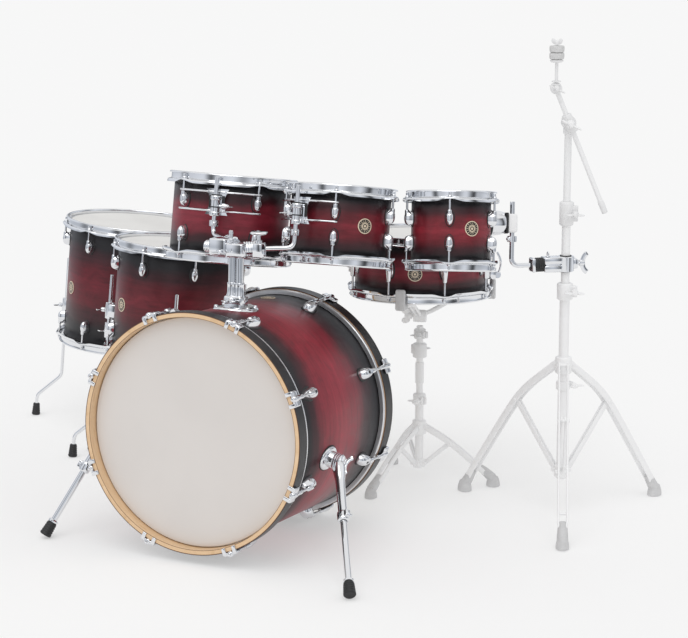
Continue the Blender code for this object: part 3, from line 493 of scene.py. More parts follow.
class Look:
    """A material with a Principled shader, its slot, and short calls for the nodes that vary it."""

    def __init__(self, name, colour, roughness, metallic=0.0, slot=None):
        self.slot = slot
        self.material = bpy.data.materials.new(name)
        self.material.use_nodes = True
        self.tree = self.material.node_tree
        self.shader = self.tree.nodes["Principled BSDF"]
        self.set("Base Color", (*colour, 1.0))
        self.set("Roughness", roughness)
        self.set("Metallic", metallic)
        self.material.diffuse_color = (*colour, 1.0)

    def set(self, socket, value):
        if isinstance(value, bpy.types.NodeSocket):
            self.tree.links.new(value, self.shader.inputs[socket])
        else:
            self.shader.inputs[socket].default_value = value

    def node(self, kind, inputs, **settings):
        made = self.tree.nodes.new("ShaderNode" + kind)
        for key, value in settings.items():
            setattr(made, key, value)
        for key, value in inputs.items():
            if isinstance(value, bpy.types.NodeSocket):
                self.tree.links.new(value, made.inputs[key])
            else:
                made.inputs[key].default_value = value
        return made

    def spot(self, scale=(1, 1, 1)):
        place = self.node("TexCoord", {}).outputs["Object"]
        return self.node("Mapping", {"Vector": place, "Scale": scale}).outputs["Vector"]

    def noise(self, scale, detail=3.0, rough=0.5, twist=0.0):
        made = self.node("TexNoise", {"Vector": self.spot(scale), "Scale": 1.0, "Detail": detail,
                                      "Roughness": rough, "Distortion": twist})
        return made.outputs["Fac"]

    def range(self, value, low, high, new_low, new_high):
        return self.node("MapRange", {"Value": value, "From Min": low, "From Max": high,
                                      "To Min": new_low, "To Max": new_high}).outputs["Result"]

    def ramp(self, value, stops, way="EASE"):
        made = self.node("ValToRGB", {"Fac": value})
        made.color_ramp.interpolation = way
        elements = made.color_ramp.elements
        for element, (place, colour) in zip(elements, (stops[0], stops[-1])):
            element.position = place
            element.color = (*colour, 1.0)
        for place, colour in stops[1:-1]:
            elements.new(place).color = (*colour, 1.0)
        return made.outputs["Color"]

    def math(self, kind, first, second=0.0):
        return self.node("Math", {0: first, 1: second}, operation=kind).outputs["Value"]

    def mix(self, kind, factor, first, second):
        made = self.node("Mix", {0: factor, 6: first, 7: second}, data_type="RGBA", blend_type=kind)
        return made.outputs[2]

    def bump(self, height, strength, distance):
        made = self.node("Bump", {"Height": height, "Strength": strength, "Distance": distance})
        self.set("Normal", made.outputs["Normal"])


def chrome_look(name, tint, low, high):
    look = Look(name, tint, low, 1.0)
    look.set("Roughness", look.range(look.noise((70, 70, 70)), 0.3, 0.7, low, high))
    return look


def lacquer_look(name, top, bottom, across, lit_red, wide=0.0):
    """Cherry in the middle of the shell, near black at both edges, with the wood's figure in it."""
    look = Look(name, (0.19, 0.026, 0.036), 0.36, slot="cherry_lacquer")
    parts = look.node("SeparateXYZ", {"Vector": look.spot()})
    wander = look.range(look.noise((7, 7, 5)), 0.3, 0.7, -0.035, 0.035)
    share = look.math("ADD", look.range(parts.outputs["Z"], top, bottom, 0.0, 1.0), wander)
    dark, edge = (0.0105, 0.0095, 0.012), (0.044, 0.009, 0.013)
    deep = tuple(0.76 * c for c in lit_red)
    burst = look.ramp(share, [(0.0, dark), (0.13 - wide, dark), (0.23 - wide, edge),
                              (0.36 - wide, deep), (0.49, lit_red), (0.62 + wide, deep),
                              (0.76 + wide, edge), (0.86 + wide, dark), (1.0, dark)])
    streaks = look.noise((9 / across, 9 / across, 85), 6.0, 0.62, 0.6)
    clouds = look.noise((16, 16, 22), 4.0, 0.6, 1.2)
    figure = look.math("ADD", look.range(streaks, 0.3, 0.7, 0.72, 1.16),
                       look.range(clouds, 0.3, 0.7, -0.18, 0.2))
    grey = look.node("CombineColor", {0: figure, 1: figure, 2: figure}).outputs["Color"]
    look.set("Base Color", look.mix("MULTIPLY", 1.0, burst, grey))
    look.set("Roughness", look.range(clouds, 0.3, 0.7, 0.33, 0.42))
    look.set("Specular IOR Level", 0.42)
    look.bump(look.noise((60, 60, 420), 3.0), 0.05, 0.0004)
    return look


def film_look(name, colour, roughness, grain, strength, vary=0.03):
    look = Look(name, colour, roughness)
    dark = tuple(c * (1 - vary) for c in colour)
    light = tuple(min(1.0, c * (1 + vary)) for c in colour)
    soft = look.noise((5, 5, 5), 4.0)
    look.set("Base Color", look.ramp(soft, [(0.35, dark), (0.65, light)]))
    patches = look.noise((30, 30, 30))
    look.set("Roughness", look.range(patches, 0.3, 0.7, roughness - 0.06, roughness + 0.06))
    look.bump(look.noise((grain, grain, grain), 5.0, 0.7), strength, 0.0004)
    return look


def maple_look(name, black_edge):
    """Clear maple. A hoop's also has a brown line at each edge and black lacquer outside."""
    look = Look(name, (0.7, 0.44, 0.22), 0.36)
    grain = look.noise((22, 22, 240), 6.0, 0.6, 0.8)
    wood = look.ramp(grain, [(0.25, (0.62, 0.4, 0.205)), (0.5, (0.76, 0.53, 0.32)),
                             (0.75, (0.82, 0.6, 0.385))])
    if black_edge:
        white, none = (1, 1, 1), (0, 0, 0)
        place = look.node("TexCoord", {}).outputs["Object"]
        flat = look.node("VectorMath", {0: place, 1: (1, 1, 0)}, operation="MULTIPLY")
        out = look.node("VectorMath", {0: flat.outputs["Vector"]},
                        operation="LENGTH").outputs["Value"]
        share = look.range(out, BASS_HOOP[0], BASS_HOOP[1], 0.0, 1.0)
        brown, black = (0.14, 0.055, 0.02), (0.012, 0.011, 0.012)
        line = look.ramp(share, [(0.0, none), (0.04, white), (0.09, white), (0.13, none),
                                 (0.8, none), (0.84, white), (1.0, white)], "LINEAR")
        wood = look.mix("MIX", line, wood, (*brown, 1.0))
        side = look.ramp(share, [(0.94, none), (0.96, white)], "LINEAR")
        wood = look.mix("MIX", side, wood, (*black, 1.0))
    look.set("Base Color", wood)
    look.set("Roughness", look.range(grain, 0.3, 0.7, 0.3, 0.42))
    look.bump(grain, 0.05, 0.0003)
    return look


def plain_look(name, colour, roughness, metallic, vary, scale, strength):
    """A moulded or coated finish with a fine, uneven surface."""
    look = Look(name, colour, roughness, metallic)
    fine = look.noise((scale, scale, scale), 4.0, 0.6)
    dark = tuple(c * (1 - vary) for c in colour)
    light = tuple(min(1.0, c * (1 + vary)) for c in colour)
    look.set("Base Color", look.ramp(fine, [(0.3, dark), (0.7, light)]))
    look.set("Roughness", look.range(fine, 0.3, 0.7, roughness - 0.05, roughness + 0.07))
    look.bump(look.noise((scale * 8, scale * 8, scale * 8), 3.0), strength, 0.0003)
    return look


CHROME = chrome_look("chrome", (0.8, 0.81, 0.83), 0.04, 0.09)
STEEL = chrome_look("bare_steel", (0.6, 0.6, 0.61), 0.16, 0.3)
FLESH = chrome_look("flesh_hoop_metal", (0.84, 0.84, 0.85), 0.34, 0.42)
RUBBER = plain_look("black_rubber", (0.018, 0.018, 0.019), 0.55, 0.0, 0.25, 90, 0.25)
COATED = film_look("coated_film", (0.8, 0.79, 0.77), 0.55, 700, 0.3)
FRONT = film_look("front_film", (0.69, 0.655, 0.63), 0.42, 260, 0.1, 0.014)
HAZY = film_look("resonant_film", (0.7, 0.7, 0.69), 0.3, 300, 0.05)
MAPLE = maple_look("maple_inside", False)
HOOP_WOOD = maple_look("maple_hoop", True)
PALE = plain_look("pale_stand_steel", (0.8, 0.8, 0.805), 0.38, 0.0, 0.012, 30, 0.03)
PALE_DARK = plain_look("pale_stand_fittings", (0.76, 0.76, 0.765), 0.42, 0.0, 0.02, 40, 0.04)
PALE_RUBBER = plain_look("pale_rubber", (0.58, 0.58, 0.585), 0.6, 0.0, 0.05, 80, 0.25)
# The pale stand finishes also glow a little: painted light that makes them brighter than the lamps
# alone would
for glowing, glow in ((PALE, 0.07), (PALE_DARK, 0.05), (PALE_RUBBER, 0.02)):
    glowing.set("Emission Color", (1, 1, 1, 1))
    glowing.set("Emission Strength", glow)
FELT = plain_look("felt", (0.64, 0.64, 0.64), 0.92, 0.0, 0.1, 240, 1.0)
CREAM = plain_look("badge_cream", (0.78, 0.66, 0.5), 0.35, 0.2, 0.06, 300, 0.1)
BLACK = plain_look("badge_black", (0.015, 0.014, 0.014), 0.35, 0.0, 0.1, 200, 0.1)
for slot, finishes in {"chrome": (CHROME,), "maple": (HOOP_WOOD,), "front_film": (FRONT,),
                       "coated_film": (COATED, HAZY), "pale_steel": (PALE, PALE_DARK),
                       "spring_steel": (STEEL,)}.items():
    for finish in finishes:
        finish.slot = slot


# Drums

# A flanged hoop's section, out from the shell and up from its top, and how far an ear moves it
HOOP_LINE = [(0.014, -0.0034), (0.0134, -0.0006), (0.0098, -0.0001), (0.0084, -0.0024),
             (0.0084, -0.0152), (0.0088, -0.0178), (0.0122, -0.0192), (0.0168, -0.0206),
             (0.0186, -0.0232), (0.0188, -0.0282)]
HOOP_EAR = [(0, 0), (0, 0), (0, 0), (0, 0), (0, 0.002), (0, 0.0016), (0.0016, 0.0016),
            (0.0046, 0.0022), (0.005, 0.0036), (0.005, 0.0066)]
HOOP_SHEET = 0.002
EAR_REACH = 0.034


def flanged_hoop(shape, radius, angles, matrix):
    """A triple-flanged hoop whose lower flange rises and reaches out into an ear at each rod."""
    line = rounded(HOOP_LINE)
    ear = rounded(HOOP_EAR)

    def section(turn):
        arc = min(abs((turn - math.radians(a) + math.pi) % (2 * math.pi) - math.pi)
                  for a in angles) * radius
        rise = 0.5 + 0.5 * math.cos(math.pi * min(1.0, arc / EAR_REACH))
        made = sheet_section(line + ear * rise ** 0.9, HOOP_SHEET)
        made[:, 0] += radius
        return made
    ring(shape, section, matrix, 176)


def tension_rods(shape, radius, angles, matrix, end):
    """Rods from each lug through the hoop's ears, with their washers and square heads."""
    for angle in angles:
        spot = matrix @ around(angle, radius + ROD_OUT)
        pin(shape, spot, 0.0027, end, -0.015)
        pin(shape, spot, 0.0062, -0.0176, -0.016, 0.0003)
        pin(shape, spot, 0.0052, -0.016, -0.012, 0.001, tip=0.0044)
        box(shape, spot @ spin("Z", 18), (-0.0029, -0.0029, -0.0124), (0.0029, 0.0029, -0.005),
            0.0006, 2)


def head_line(radius):
    """Film over the bearing edge, then down to its metal flesh hoop."""
    return [(0, -0.0098), (radius - 0.016, -0.0098), (radius - 0.006, -0.0099),
            (radius - 0.0015, -0.0103), (radius + 0.001, -0.012), (radius + 0.0016, -0.015)]


def head(shape, radius, matrix):
    shape.look = 0
    top = head_line(radius)
    lathe(shape, top + [(r - 0.0003, z - 0.0004) for r, z in reversed(top[1:])] + [(0, -0.0102)],
          matrix, 128)
    shape.look = 1
    loop = [(radius + 0.0017, -0.0145), (radius + 0.0044, -0.0145), (radius + 0.0044, -0.0198),
            (radius + 0.0017, -0.0198)]
    ring(shape, loop, matrix, 128)


def badge(shape, matrix, radius, size, oval=1.0):
    """A plain round badge of rings and ticks, bent to the shell."""
    part = Shape()
    bands = [(0.0, 0.17, 0), (0.17, 0.3, 1), (0.3, 0.42, 0), (0.42, 0.47, 1), (0.47, 0.53, 0),
             (0.53, 0.88, 1), (0.88, 1.0, 0)]
    for start, end, look in bands:
        part.look = look
        high = 0.0016 if look == 0 else 0.0013
        points = []
        for k in range(48):
            turn = 2 * math.pi * k / 48
            for share, rise in ((start, 0.0), (start, high), (end, high), (end, 0.0)):
                points.append((share * size * math.cos(turn) * oval, share * size * math.sin(turn),
                               rise))
        part.add(points, grid_faces(48, 4, True, True))
    part.look = 0
    for k in range(16):
        spot = spin("Z", 22.5 * k) @ shift(size * 0.7, 0, 0)
        half = 0.05 if k % 2 else 0.1
        box(part, spot, (-size * half, -size * 0.035, 0.001), (size * half, size * 0.035, 0.0015),
            0.0001, 1)
    bent = [(x, y, z - y * y / (2 * radius) - 0.0001) for x, y, z in part.points]
    start = len(shape.points)
    shape.add(bent, [], matrix)
    shape.faces.extend(tuple(start + i for i in face) for face in part.faces)
    shape.looks.extend(part.looks)


def shell(name, matrix, radius, low, high, look, body, steps=144):
    """Lacquer outside, and bare maple at the bearing edges and inside."""
    section = [(radius - 0.0045, high), (radius - 0.0012, high - 0.0022), (radius, high - 0.004),
               (radius, low + 0.004), (radius - 0.0012, low + 0.0022), (radius - 0.0045, low),
               (radius - WALL, low + 0.0025), (radius - WALL, high - 0.0025)]
    lacquered = (1, 2, 3)
    shape = Shape()
    ring(shape, section, steps=steps)
    shape.looks = [0 if i % len(section) in lacquered else 1 for i in range(len(shape.faces))]
    piece(name + "_shell_skin", shape, matrix, [look, MAPLE], body, [name + "_shell"])


def drum(name, body):
    """The shell, its lugs, both hoops with their rods, both heads and the badge."""
    spec = DRUMS[name]
    radius, height, angles = spec["radius"], drum_height(name), lug_angles(name)
    place = drum_frame(name)
    look = lacquer_look(name + "_lacquer", -EDGE, EDGE - height, radius / 0.15, spec["lit_red"])
    shell(name, place, radius, EDGE - height, -EDGE, look, body)
    flip = shift(0, 0, -height) @ spin("X", 180)
    ends = ((Matrix(), angles, "top"), (flip, [-a for a in angles], "bottom"))
    lugs, pads = Shape(), Shape()
    if name == "snare":
        for angle in angles:
            spot = around(angle, radius, -height / 2)
            spindle = [(0, -0.031), (0.0044, -0.031), (0.0058, -0.029), (0.0062, -0.022),
                       (0.0078, -0.01), (0.0086, 0.0)]
            line = spindle + [(r, -z) for r, z in reversed(spindle[:-1])]
            soft_lathe(lugs, line, spot @ shift(ROD_OUT, 0, 0), 28)
            bump_patch(lugs, spot, 0.022, 0.0085, 0.01)
            bump_patch(pads, spot, 0.0245, 0.011, 0.0014)
        rod_end = -height / 2 + 0.03
    else:
        for matrix, turned, _ in ends:
            for angle in turned:
                spot = matrix @ around(angle, radius, -LUG_ROW)
                bump_patch(lugs, spot, LUG_HALF, 0.0108, 0.0215, 0.1, power=3.2)
                boss = spot @ shift(ROD_OUT, 0, LUG_HALF * 0.2)
                cap(lugs, boss, 0.0056, 0, LUG_HALF * 0.8 + 0.003)
                bump_patch(pads, spot, LUG_HALF + 0.0018, 0.0126, 0.0022, 0.1, power=6)
        rod_end = -LUG_ROW + LUG_HALF
    piece(name + "_lugs", lugs, place, [CHROME], body)
    piece(name + "_lug_gaskets", pads, place, [RUBBER], body)
    for matrix, turned, label in ends:
        hoop = Shape()
        flanged_hoop(hoop, radius, turned, matrix)
        piece(name + "_" + label + "_hoop_skin", hoop, place, [CHROME], body,
              [name + "_" + label + "_hoop"])
        rods = Shape()
        tension_rods(rods, radius, turned, matrix, rod_end)
        piece(name + "_" + label + "_tension_rods", rods, place, [CHROME], body)
        film = Shape()
        head(film, radius, matrix)
        node = {"top": name + "_batter_head", "bottom": name + "_snare_side_head"}[label]
        known = [node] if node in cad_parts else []
        look = COATED if label == "top" else HAZY
        piece(name + "_" + label + "_film", film, place, [look, FLESH], body, known)
    mark = Shape()
    angle, low = spec["badge"]
    badge(mark, around(angle, radius, low) @ OUTWARDS, radius, 0.019)
    piece(name + "_badge", mark, place, [CREAM, BLACK], body)


# Bass drum

def bass_drum():
    look = lacquer_look("bass_lacquer", -0.04, -0.48, 1.9, BASS_LIT_RED, 0.05)
    shell("bass", BASS, BASS_RADIUS, BASS_EDGE - BASS_LENGTH, -BASS_EDGE, look, "kit", 192)
    angles = [22.5 + 45 * k for k in range(8)]
    flip = shift(0, 0, -BASS_LENGTH) @ spin("X", 180)
    lugs, pads = Shape(), Shape()
    for matrix, label, look, turned in ((Matrix(), "front", FRONT, angles),
                                        (flip, "batter", COATED, [-a for a in angles])):
        r_in, r_out, depth = BASS_HOOP
        e = 0.0022
        loop = rounded([(r_in + e, 0), (r_out - e, 0), (r_out, 0), (r_out, -e),
                        (r_out, -depth + e), (r_out, -depth), (r_out - e, -depth),
                        (r_in + e, -depth), (r_in, -depth), (r_in, -depth + e), (r_in, -e),
                        (r_in, 0), (r_in + e, 0)], 1)[:-1]
        hoop = Shape()
        ring(hoop, loop, matrix, 192)
        piece("bass_" + label + "_hoop_skin", hoop, BASS, [HOOP_WOOD], "kit",
              ["bass_" + label + "_hoop"])
        film = Shape()
        line = [(0, -0.0255), (0.268, -0.0255), (0.2755, -0.0256), (0.2785, -0.0263),
                (0.2802, -0.0285), (0.2808, -0.0385)]
        lathe(film, line + [(r - 0.0004, z - 0.0004) for r, z in reversed(line[1:])]
              + [(0, -0.026)], matrix, 192)
        film.look = 1
        bead = [(0.2809, -0.0384), (0.2906, -0.0384), (0.2926, -0.0402), (0.2926, -0.0464),
                (0.2906, -0.0482), (0.2809, -0.0482)]
        ring(film, bead, matrix, 192)
        piece("bass_" + label + "_film", film, BASS, [look, FLESH], "kit",
              ["bass_" + label + "_head"])
        claws = Shape()
        for angle in turned:
            spot = matrix @ around(angle)
            claw(claws, spot)
            lug = spot @ shift(BASS_RADIUS, 0, -BASS_LUG_ROW)
            bump_patch(lugs, lug, 0.027, 0.0145, 0.0238, -0.34, power=3.6)
            bump_patch(pads, lug @ shift(0.0212, 0, -0.006), 0.0075, 0.0048, 0.003, -0.2)
            cap(lugs, lug @ shift(BASS_ROD - BASS_RADIUS, 0, 0.006), 0.0066, 0, 0.0225)
            bump_patch(pads, lug, 0.03, 0.0178, 0.0018, -0.34, power=6)
            pin(claws, spot @ shift(BASS_ROD, 0, 0), 0.0034, -0.084, 0.004)
        piece("bass_" + label + "_claws", claws, BASS, [CHROME], "kit")
    piece("bass_lugs", lugs, BASS, [CHROME], "kit")
    piece("bass_lug_gaskets", pads, BASS, [RUBBER], "kit")
    mark = Shape()
    angle, low = BASS_BADGE
    badge(mark, around(angle, BASS_RADIUS, low) @ OUTWARDS, BASS_RADIUS, 0.02, 0.72)
    piece("bass_badge", mark, BASS, [CREAM, BLACK], "kit")


def claw(shape, spot):
    """A cast claw over the hoop's edge: two fingertips in front and a boss for the key rod."""
    out = BASS_HOOP[1]
    box(shape, spot, (out + 0.0004, -0.0195, -0.02), (out + 0.0085, 0.0195, 0.004), 0.003)
    for side in (-1, 1):
        box(shape, spot @ shift(0, side * 0.0145, 0), (out - 0.0125, -0.0052, 0.0003),
            (out + 0.006, 0.0052, 0.0048), 0.0016)
    boss = spot @ shift(BASS_ROD + 0.0005, 0, 0)
    soft_lathe(shape, [(0, -0.047), (0.005, -0.047), (0.0058, -0.04), (0.0054, -0.026),
                       (0.0078, -0.014), (0.0082, -0.001), (0.0068, 0.0056), (0, 0.006)], boss, 28)
    box(shape, boss @ spin("Z", 25), (-0.003, -0.003, 0.005), (0.003, 0.003, 0.0115), 0.0006, 2)


def rubber_foot(shape, matrix, radius, length, tip):
    """A ribbed foot that starts at the origin and ends at the length, wider at its end."""
    line = [(0, 0), (tip * 0.9, 0), (tip, length * 0.05)]
    for k in range(4):
        low = length * (0.12 + 0.17 * k)
        wide = tip + (radius - tip) * (low / length)
        line += [(wide, low), (wide + 0.0006, low + length * 0.06),
                 (wide - 0.0004, low + length * 0.12)]
    line += [(radius, length * 0.84), (radius, length * 0.93), (radius * 0.86, length), (0, length)]
    lathe(shape, line, matrix, 36)


def spurs():
    for azimuth, inset, foot_at, label in SPURS:
        spur = "spur_" + label
        hinge = BASS @ around(azimuth, BASS_RADIUS, -inset) @ OUTWARDS
        start = hinge @ Vector((0, 0, SPUR_STAND))
        foot = SHIFT + Vector((*foot_at, 0))
        slope = (foot - start).normalized()
        foot.z = SPUR_FOOT[0] * math.sqrt(1 - slope.z ** 2)
        along, length = between(start, foot)
        local = hinge.inverted() @ along
        bracket, pad = Shape(), Shape()
        bump_patch(pad, spin("Y", -90), 0.0435, 0.032, 0.003, power=7)
        bump_patch(bracket, spin("Y", -90), 0.0415, 0.03, 0.0085, power=5)
        pin(bracket, Matrix(), 0.0215, 0.004, 0.02, 0.0012, 36, tip=0.02)
        for way in (-1, 1):
            bolt(bracket, shift(way * 0.027, 0, 0.006), 0.0046, 0.004)
        piece(spur + "_bracket", bracket, hinge, [CHROME], "kit")
        piece(spur + "_bracket_gasket", pad, hinge, [RUBBER], "kit")
        tube_part = Shape()
        line = [(0, 0.0203), (0.02, 0.0203)]
        for k in range(3):
            low = 0.0215 + 0.0052 * k
            line += [(0.0206, low), (0.0206, low + 0.0034), (0.0198, low + 0.004)]
        line += [(0.019, 0.0385), (0.015, 0.0408), (0, 0.041)]
        lathe(tube_part, line, Matrix(), 40)
        wing_bar(tube_part, shift(0, 0, 0.038) @ spin("Z", 60), 1.2, 0.004)
        sleeve = SPUR_SLEEVE_SHARE * length
        line = [(0, 0.004), (0.0155, 0.006), (0.017, 0.016), (0.0135, 0.046), (0.0112, 0.06),
                (0.011, sleeve - 0.024), (0.011, sleeve - 0.001), (0.0084, sleeve),
                (0.0082, sleeve - 0.02), (0, sleeve - 0.02)]
        soft_lathe(tube_part, line, local, 36)
        end = local @ shift(0, 0, sleeve)
        soft_lathe(tube_part, [(0, -0.026), (0.0128, -0.026), (0.0145, -0.024), (0.0145, -0.004),
                               (0.0128, -0.001), (0.009, 0.0), (0.0084, -0.006), (0, -0.007)], end,
                   36)
        end = end @ spin("Z", 90)
        box(tube_part, end, (0.008, -0.0065, -0.0225), (0.0215, 0.0065, -0.0045), 0.002)
        bolt(tube_part, end @ shift(0.015, -0.0065, -0.0135) @ spin("X", 90), 0.0042, 0.008)
        piece(spur + "_sleeve", tube_part, hinge, [CHROME], spur + "_tube",
              [spur + "_tube"])
        leg = Shape()
        top = length - SPUR_FOOT[1]
        pin(leg, along, 0.0078, SPUR_LEG_SHARE * length, top + 0.006, steps=28)
        lathe(leg, [(0, top - 0.009), (0.009, top - 0.009), (0.0128, top - 0.006),
                    (0.0128, top - 0.002), (0.01, top), (0, top)], along, 32)
        leg.look = 1
        rubber_foot(leg, along @ shift(0, 0, top), *SPUR_FOOT, 0.0125)
        piece(spur + "_inner_leg", leg, Matrix(), [CHROME, RUBBER], spur + "_leg",
              [spur + "_leg"])


# Tom holder and the rods that carry the toms

def tom_holder():
    base = Shape()
    rows, columns = 9, 48
    points = []
    for k in range(rows + 1):
        share = math.sin(math.pi / 2 * k / rows)
        rise = 0.0065 * (1 - share ** 7) ** 0.5
        for j in range(columns):
            turn = 2 * math.pi * j / columns
            x, y = 0.058 * share * math.cos(turn), 0.052 * share * math.sin(turn)
            drop = BASS_RADIUS - math.sqrt(BASS_RADIUS ** 2 - x * x)
            points.append((x, y, rise - drop + 0.0004))
    base.add(points, grid_faces(rows + 1, columns, False, True))
    box(base, Matrix(), (-0.025, -0.02, 0.001), (0.025, 0.022, 0.03), 0.006, 4)
    for side in (-1, 1):
        line = [(0, 0.01), (0.015, 0.01), (0.0148, 0.03), (0.0122, 0.036), (0.0118, 0.054),
                (0.0124, 0.06), (0.011, 0.063), (0, 0.063)]
        soft_lathe(base, line, shift(side * POST_SPREAD, 0, 0), 36)
    for x, y in ((-0.044, 0.02), (0.044, 0.02), (-0.044, -0.02), (0.044, -0.02)):
        lathe(base, [(0, -0.004), (0.0052, -0.004), (0.0052, 0.005), (0.004, 0.0066), (0, 0.007)],
              shift(x, y, -0.001), 24)
    wing_screw(base, shift(0, -0.019, 0.02) @ spin("X", 90), 1.1, 0.004)
    piece("tom_holder_plate", base, HOLDER, [CHROME], "kit", ["tom_holder_base"])
    posts = Shape()
    for side in (-1, 1):
        pin(posts, shift(side * POST_SPREAD, 0, 0), 0.0098, 0.024, 0.128, steps=32)
    piece("tom_holder_twin_tubes", posts, HOLDER, [CHROME], "tom_holder", ["tom_holder_posts"])
    clamp, dark = Shape(), Shape()
    box(clamp, Matrix(), (-0.02, -0.021, 0.1255), (0.027, 0.021, 0.16), 0.005, 4)
    box(clamp, Matrix(), (-0.068, -0.019, 0.127), (-0.0215, 0.023, 0.169), 0.005, 4)
    box(clamp, Matrix(), (-0.025, -0.015, 0.131), (-0.015, 0.015, 0.16), 0.002)
    end = shift(-0.067, 0, 0.146) @ spin("Y", -90)
    line = [(0, 0)]
    for k in range(4):
        line += [(0.015, 0.0045 * k), (0.0158, 0.0012 + 0.0045 * k), (0.015, 0.0036 + 0.0045 * k)]
    lathe(clamp, line + [(0.012, 0.0195), (0, 0.02)], end, 36)
    for side in (-1, 1):
        pin(clamp, shift(side * POST_SPREAD, 0, 0), 0.015, 0.124, 0.131, 0.0015, 36)
    for name in ARMS:
        hub = hub_of(name)
        arm = (elbow_of(name) - hub).normalized()
        jaw = HOLDER.inverted() @ Matrix.Translation(hub) @ turn_to(arm)
        if name == "tom12":
            pin(clamp, jaw, 0.015, 0.01, 0.056, 0.003, 32)
            continue
        soft_lathe(clamp, [(0, -0.016), (0.015, -0.016), (0.0178, -0.012), (0.0178, 0.0145),
                           (0.016, 0.0165), (0, 0.0165)], jaw, 40)
        line = [(0, 0.0165)]
        for k in range(5):
            low = 0.0165 + 0.006 * k
            line += [(0.0196, low + 0.0005), (0.0202, low + 0.004), (0.0176, low + 0.0055)]
        line += [(0.019, 0.05), (0.016, 0.056), (0.0076, 0.0562), (0.007, 0.04), (0, 0.04)]
        lathe(clamp, line, jaw, 40)
        line = [(0, 0.04), (0.014, 0.0548), (0.014, 0.057), (0.007, 0.0574), (0, 0.041)]
        lathe(dark, line, jaw, 32)
    left = HOLDER.inverted() @ Matrix.Translation(hub_of("tom12"))
    post = left @ shift(-0.008, -0.012, 0)
    pin(clamp, post, 0.005, 0.0, 0.03)
    pin(clamp, post, 0.0066, 0.004, 0.014, 0.0012)
    pin(clamp, post, 0.0058, 0.025, 0.034, 0.001, tip=0.005)
    right = HOLDER.inverted() @ Matrix.Translation(hub_of("tom10"))
    knob = right @ shift(0.067, -0.008, 0.004)
    box(clamp, knob, (-0.0125, -0.013, -0.018), (0.0125, 0.016, 0.019), 0.004)
    pin(clamp, knob, 0.0085, 0.018, 0.025, 0.001)
    pin(clamp, knob, 0.005, 0.02, 0.042)
    soft_lathe(clamp, [(0, 0.037), (0.008, 0.037), (0.019, 0.04), (0.0222, 0.0435), (0.02, 0.0465),
                       (0.008, 0.048), (0, 0.048)], knob, 40)
    wing_bar(clamp, left @ shift(-0.033, -0.019, -0.02) @ spin("X", 90), 1.0, 0.004)
    piece("tom_holder_clamp_head", clamp, HOLDER, [CHROME], "tom_holder", ["tom_holder_clamp"])
    piece("tom_holder_clamp_inserts", dark, HOLDER, [RUBBER], "tom_holder")


def l_rods():
    for name, spot in ROD_PLACE.items():
        hub, elbow = hub_of(name), elbow_of(name)
        point, axis = rod_line(name)
        arm = (elbow - hub).normalized()
        reach = 0.032 if name == "tom8" else 0.022
        top = point + axis * spot["above"]
        path = filleted([hub + arm * reach, elbow, top], 0.021, 12)
        rod = Shape()
        tube(rod, path, L_ROD, sides=24)
        place = Matrix.Translation(point + axis * (spot["collar"] - 0.016)) @ turn_to(axis)
        disc(rod, place, 0.0122, 0, 0.016, 0.0012, 0.0012)
        turn = 250 if name == "tom8" else 300
        lug = place @ around(turn, 0.01, 0.008) @ OUTWARDS
        pin(rod, lug, 0.0062, 0, 0.0045, 0.0006)
        cap(rod, lug, 0.0048, 0.003, 0.0095)
        piece(name + "_l_rod_bar", rod, Matrix(), [CHROME], name + "_l_rod", [name + "_l_rod"])


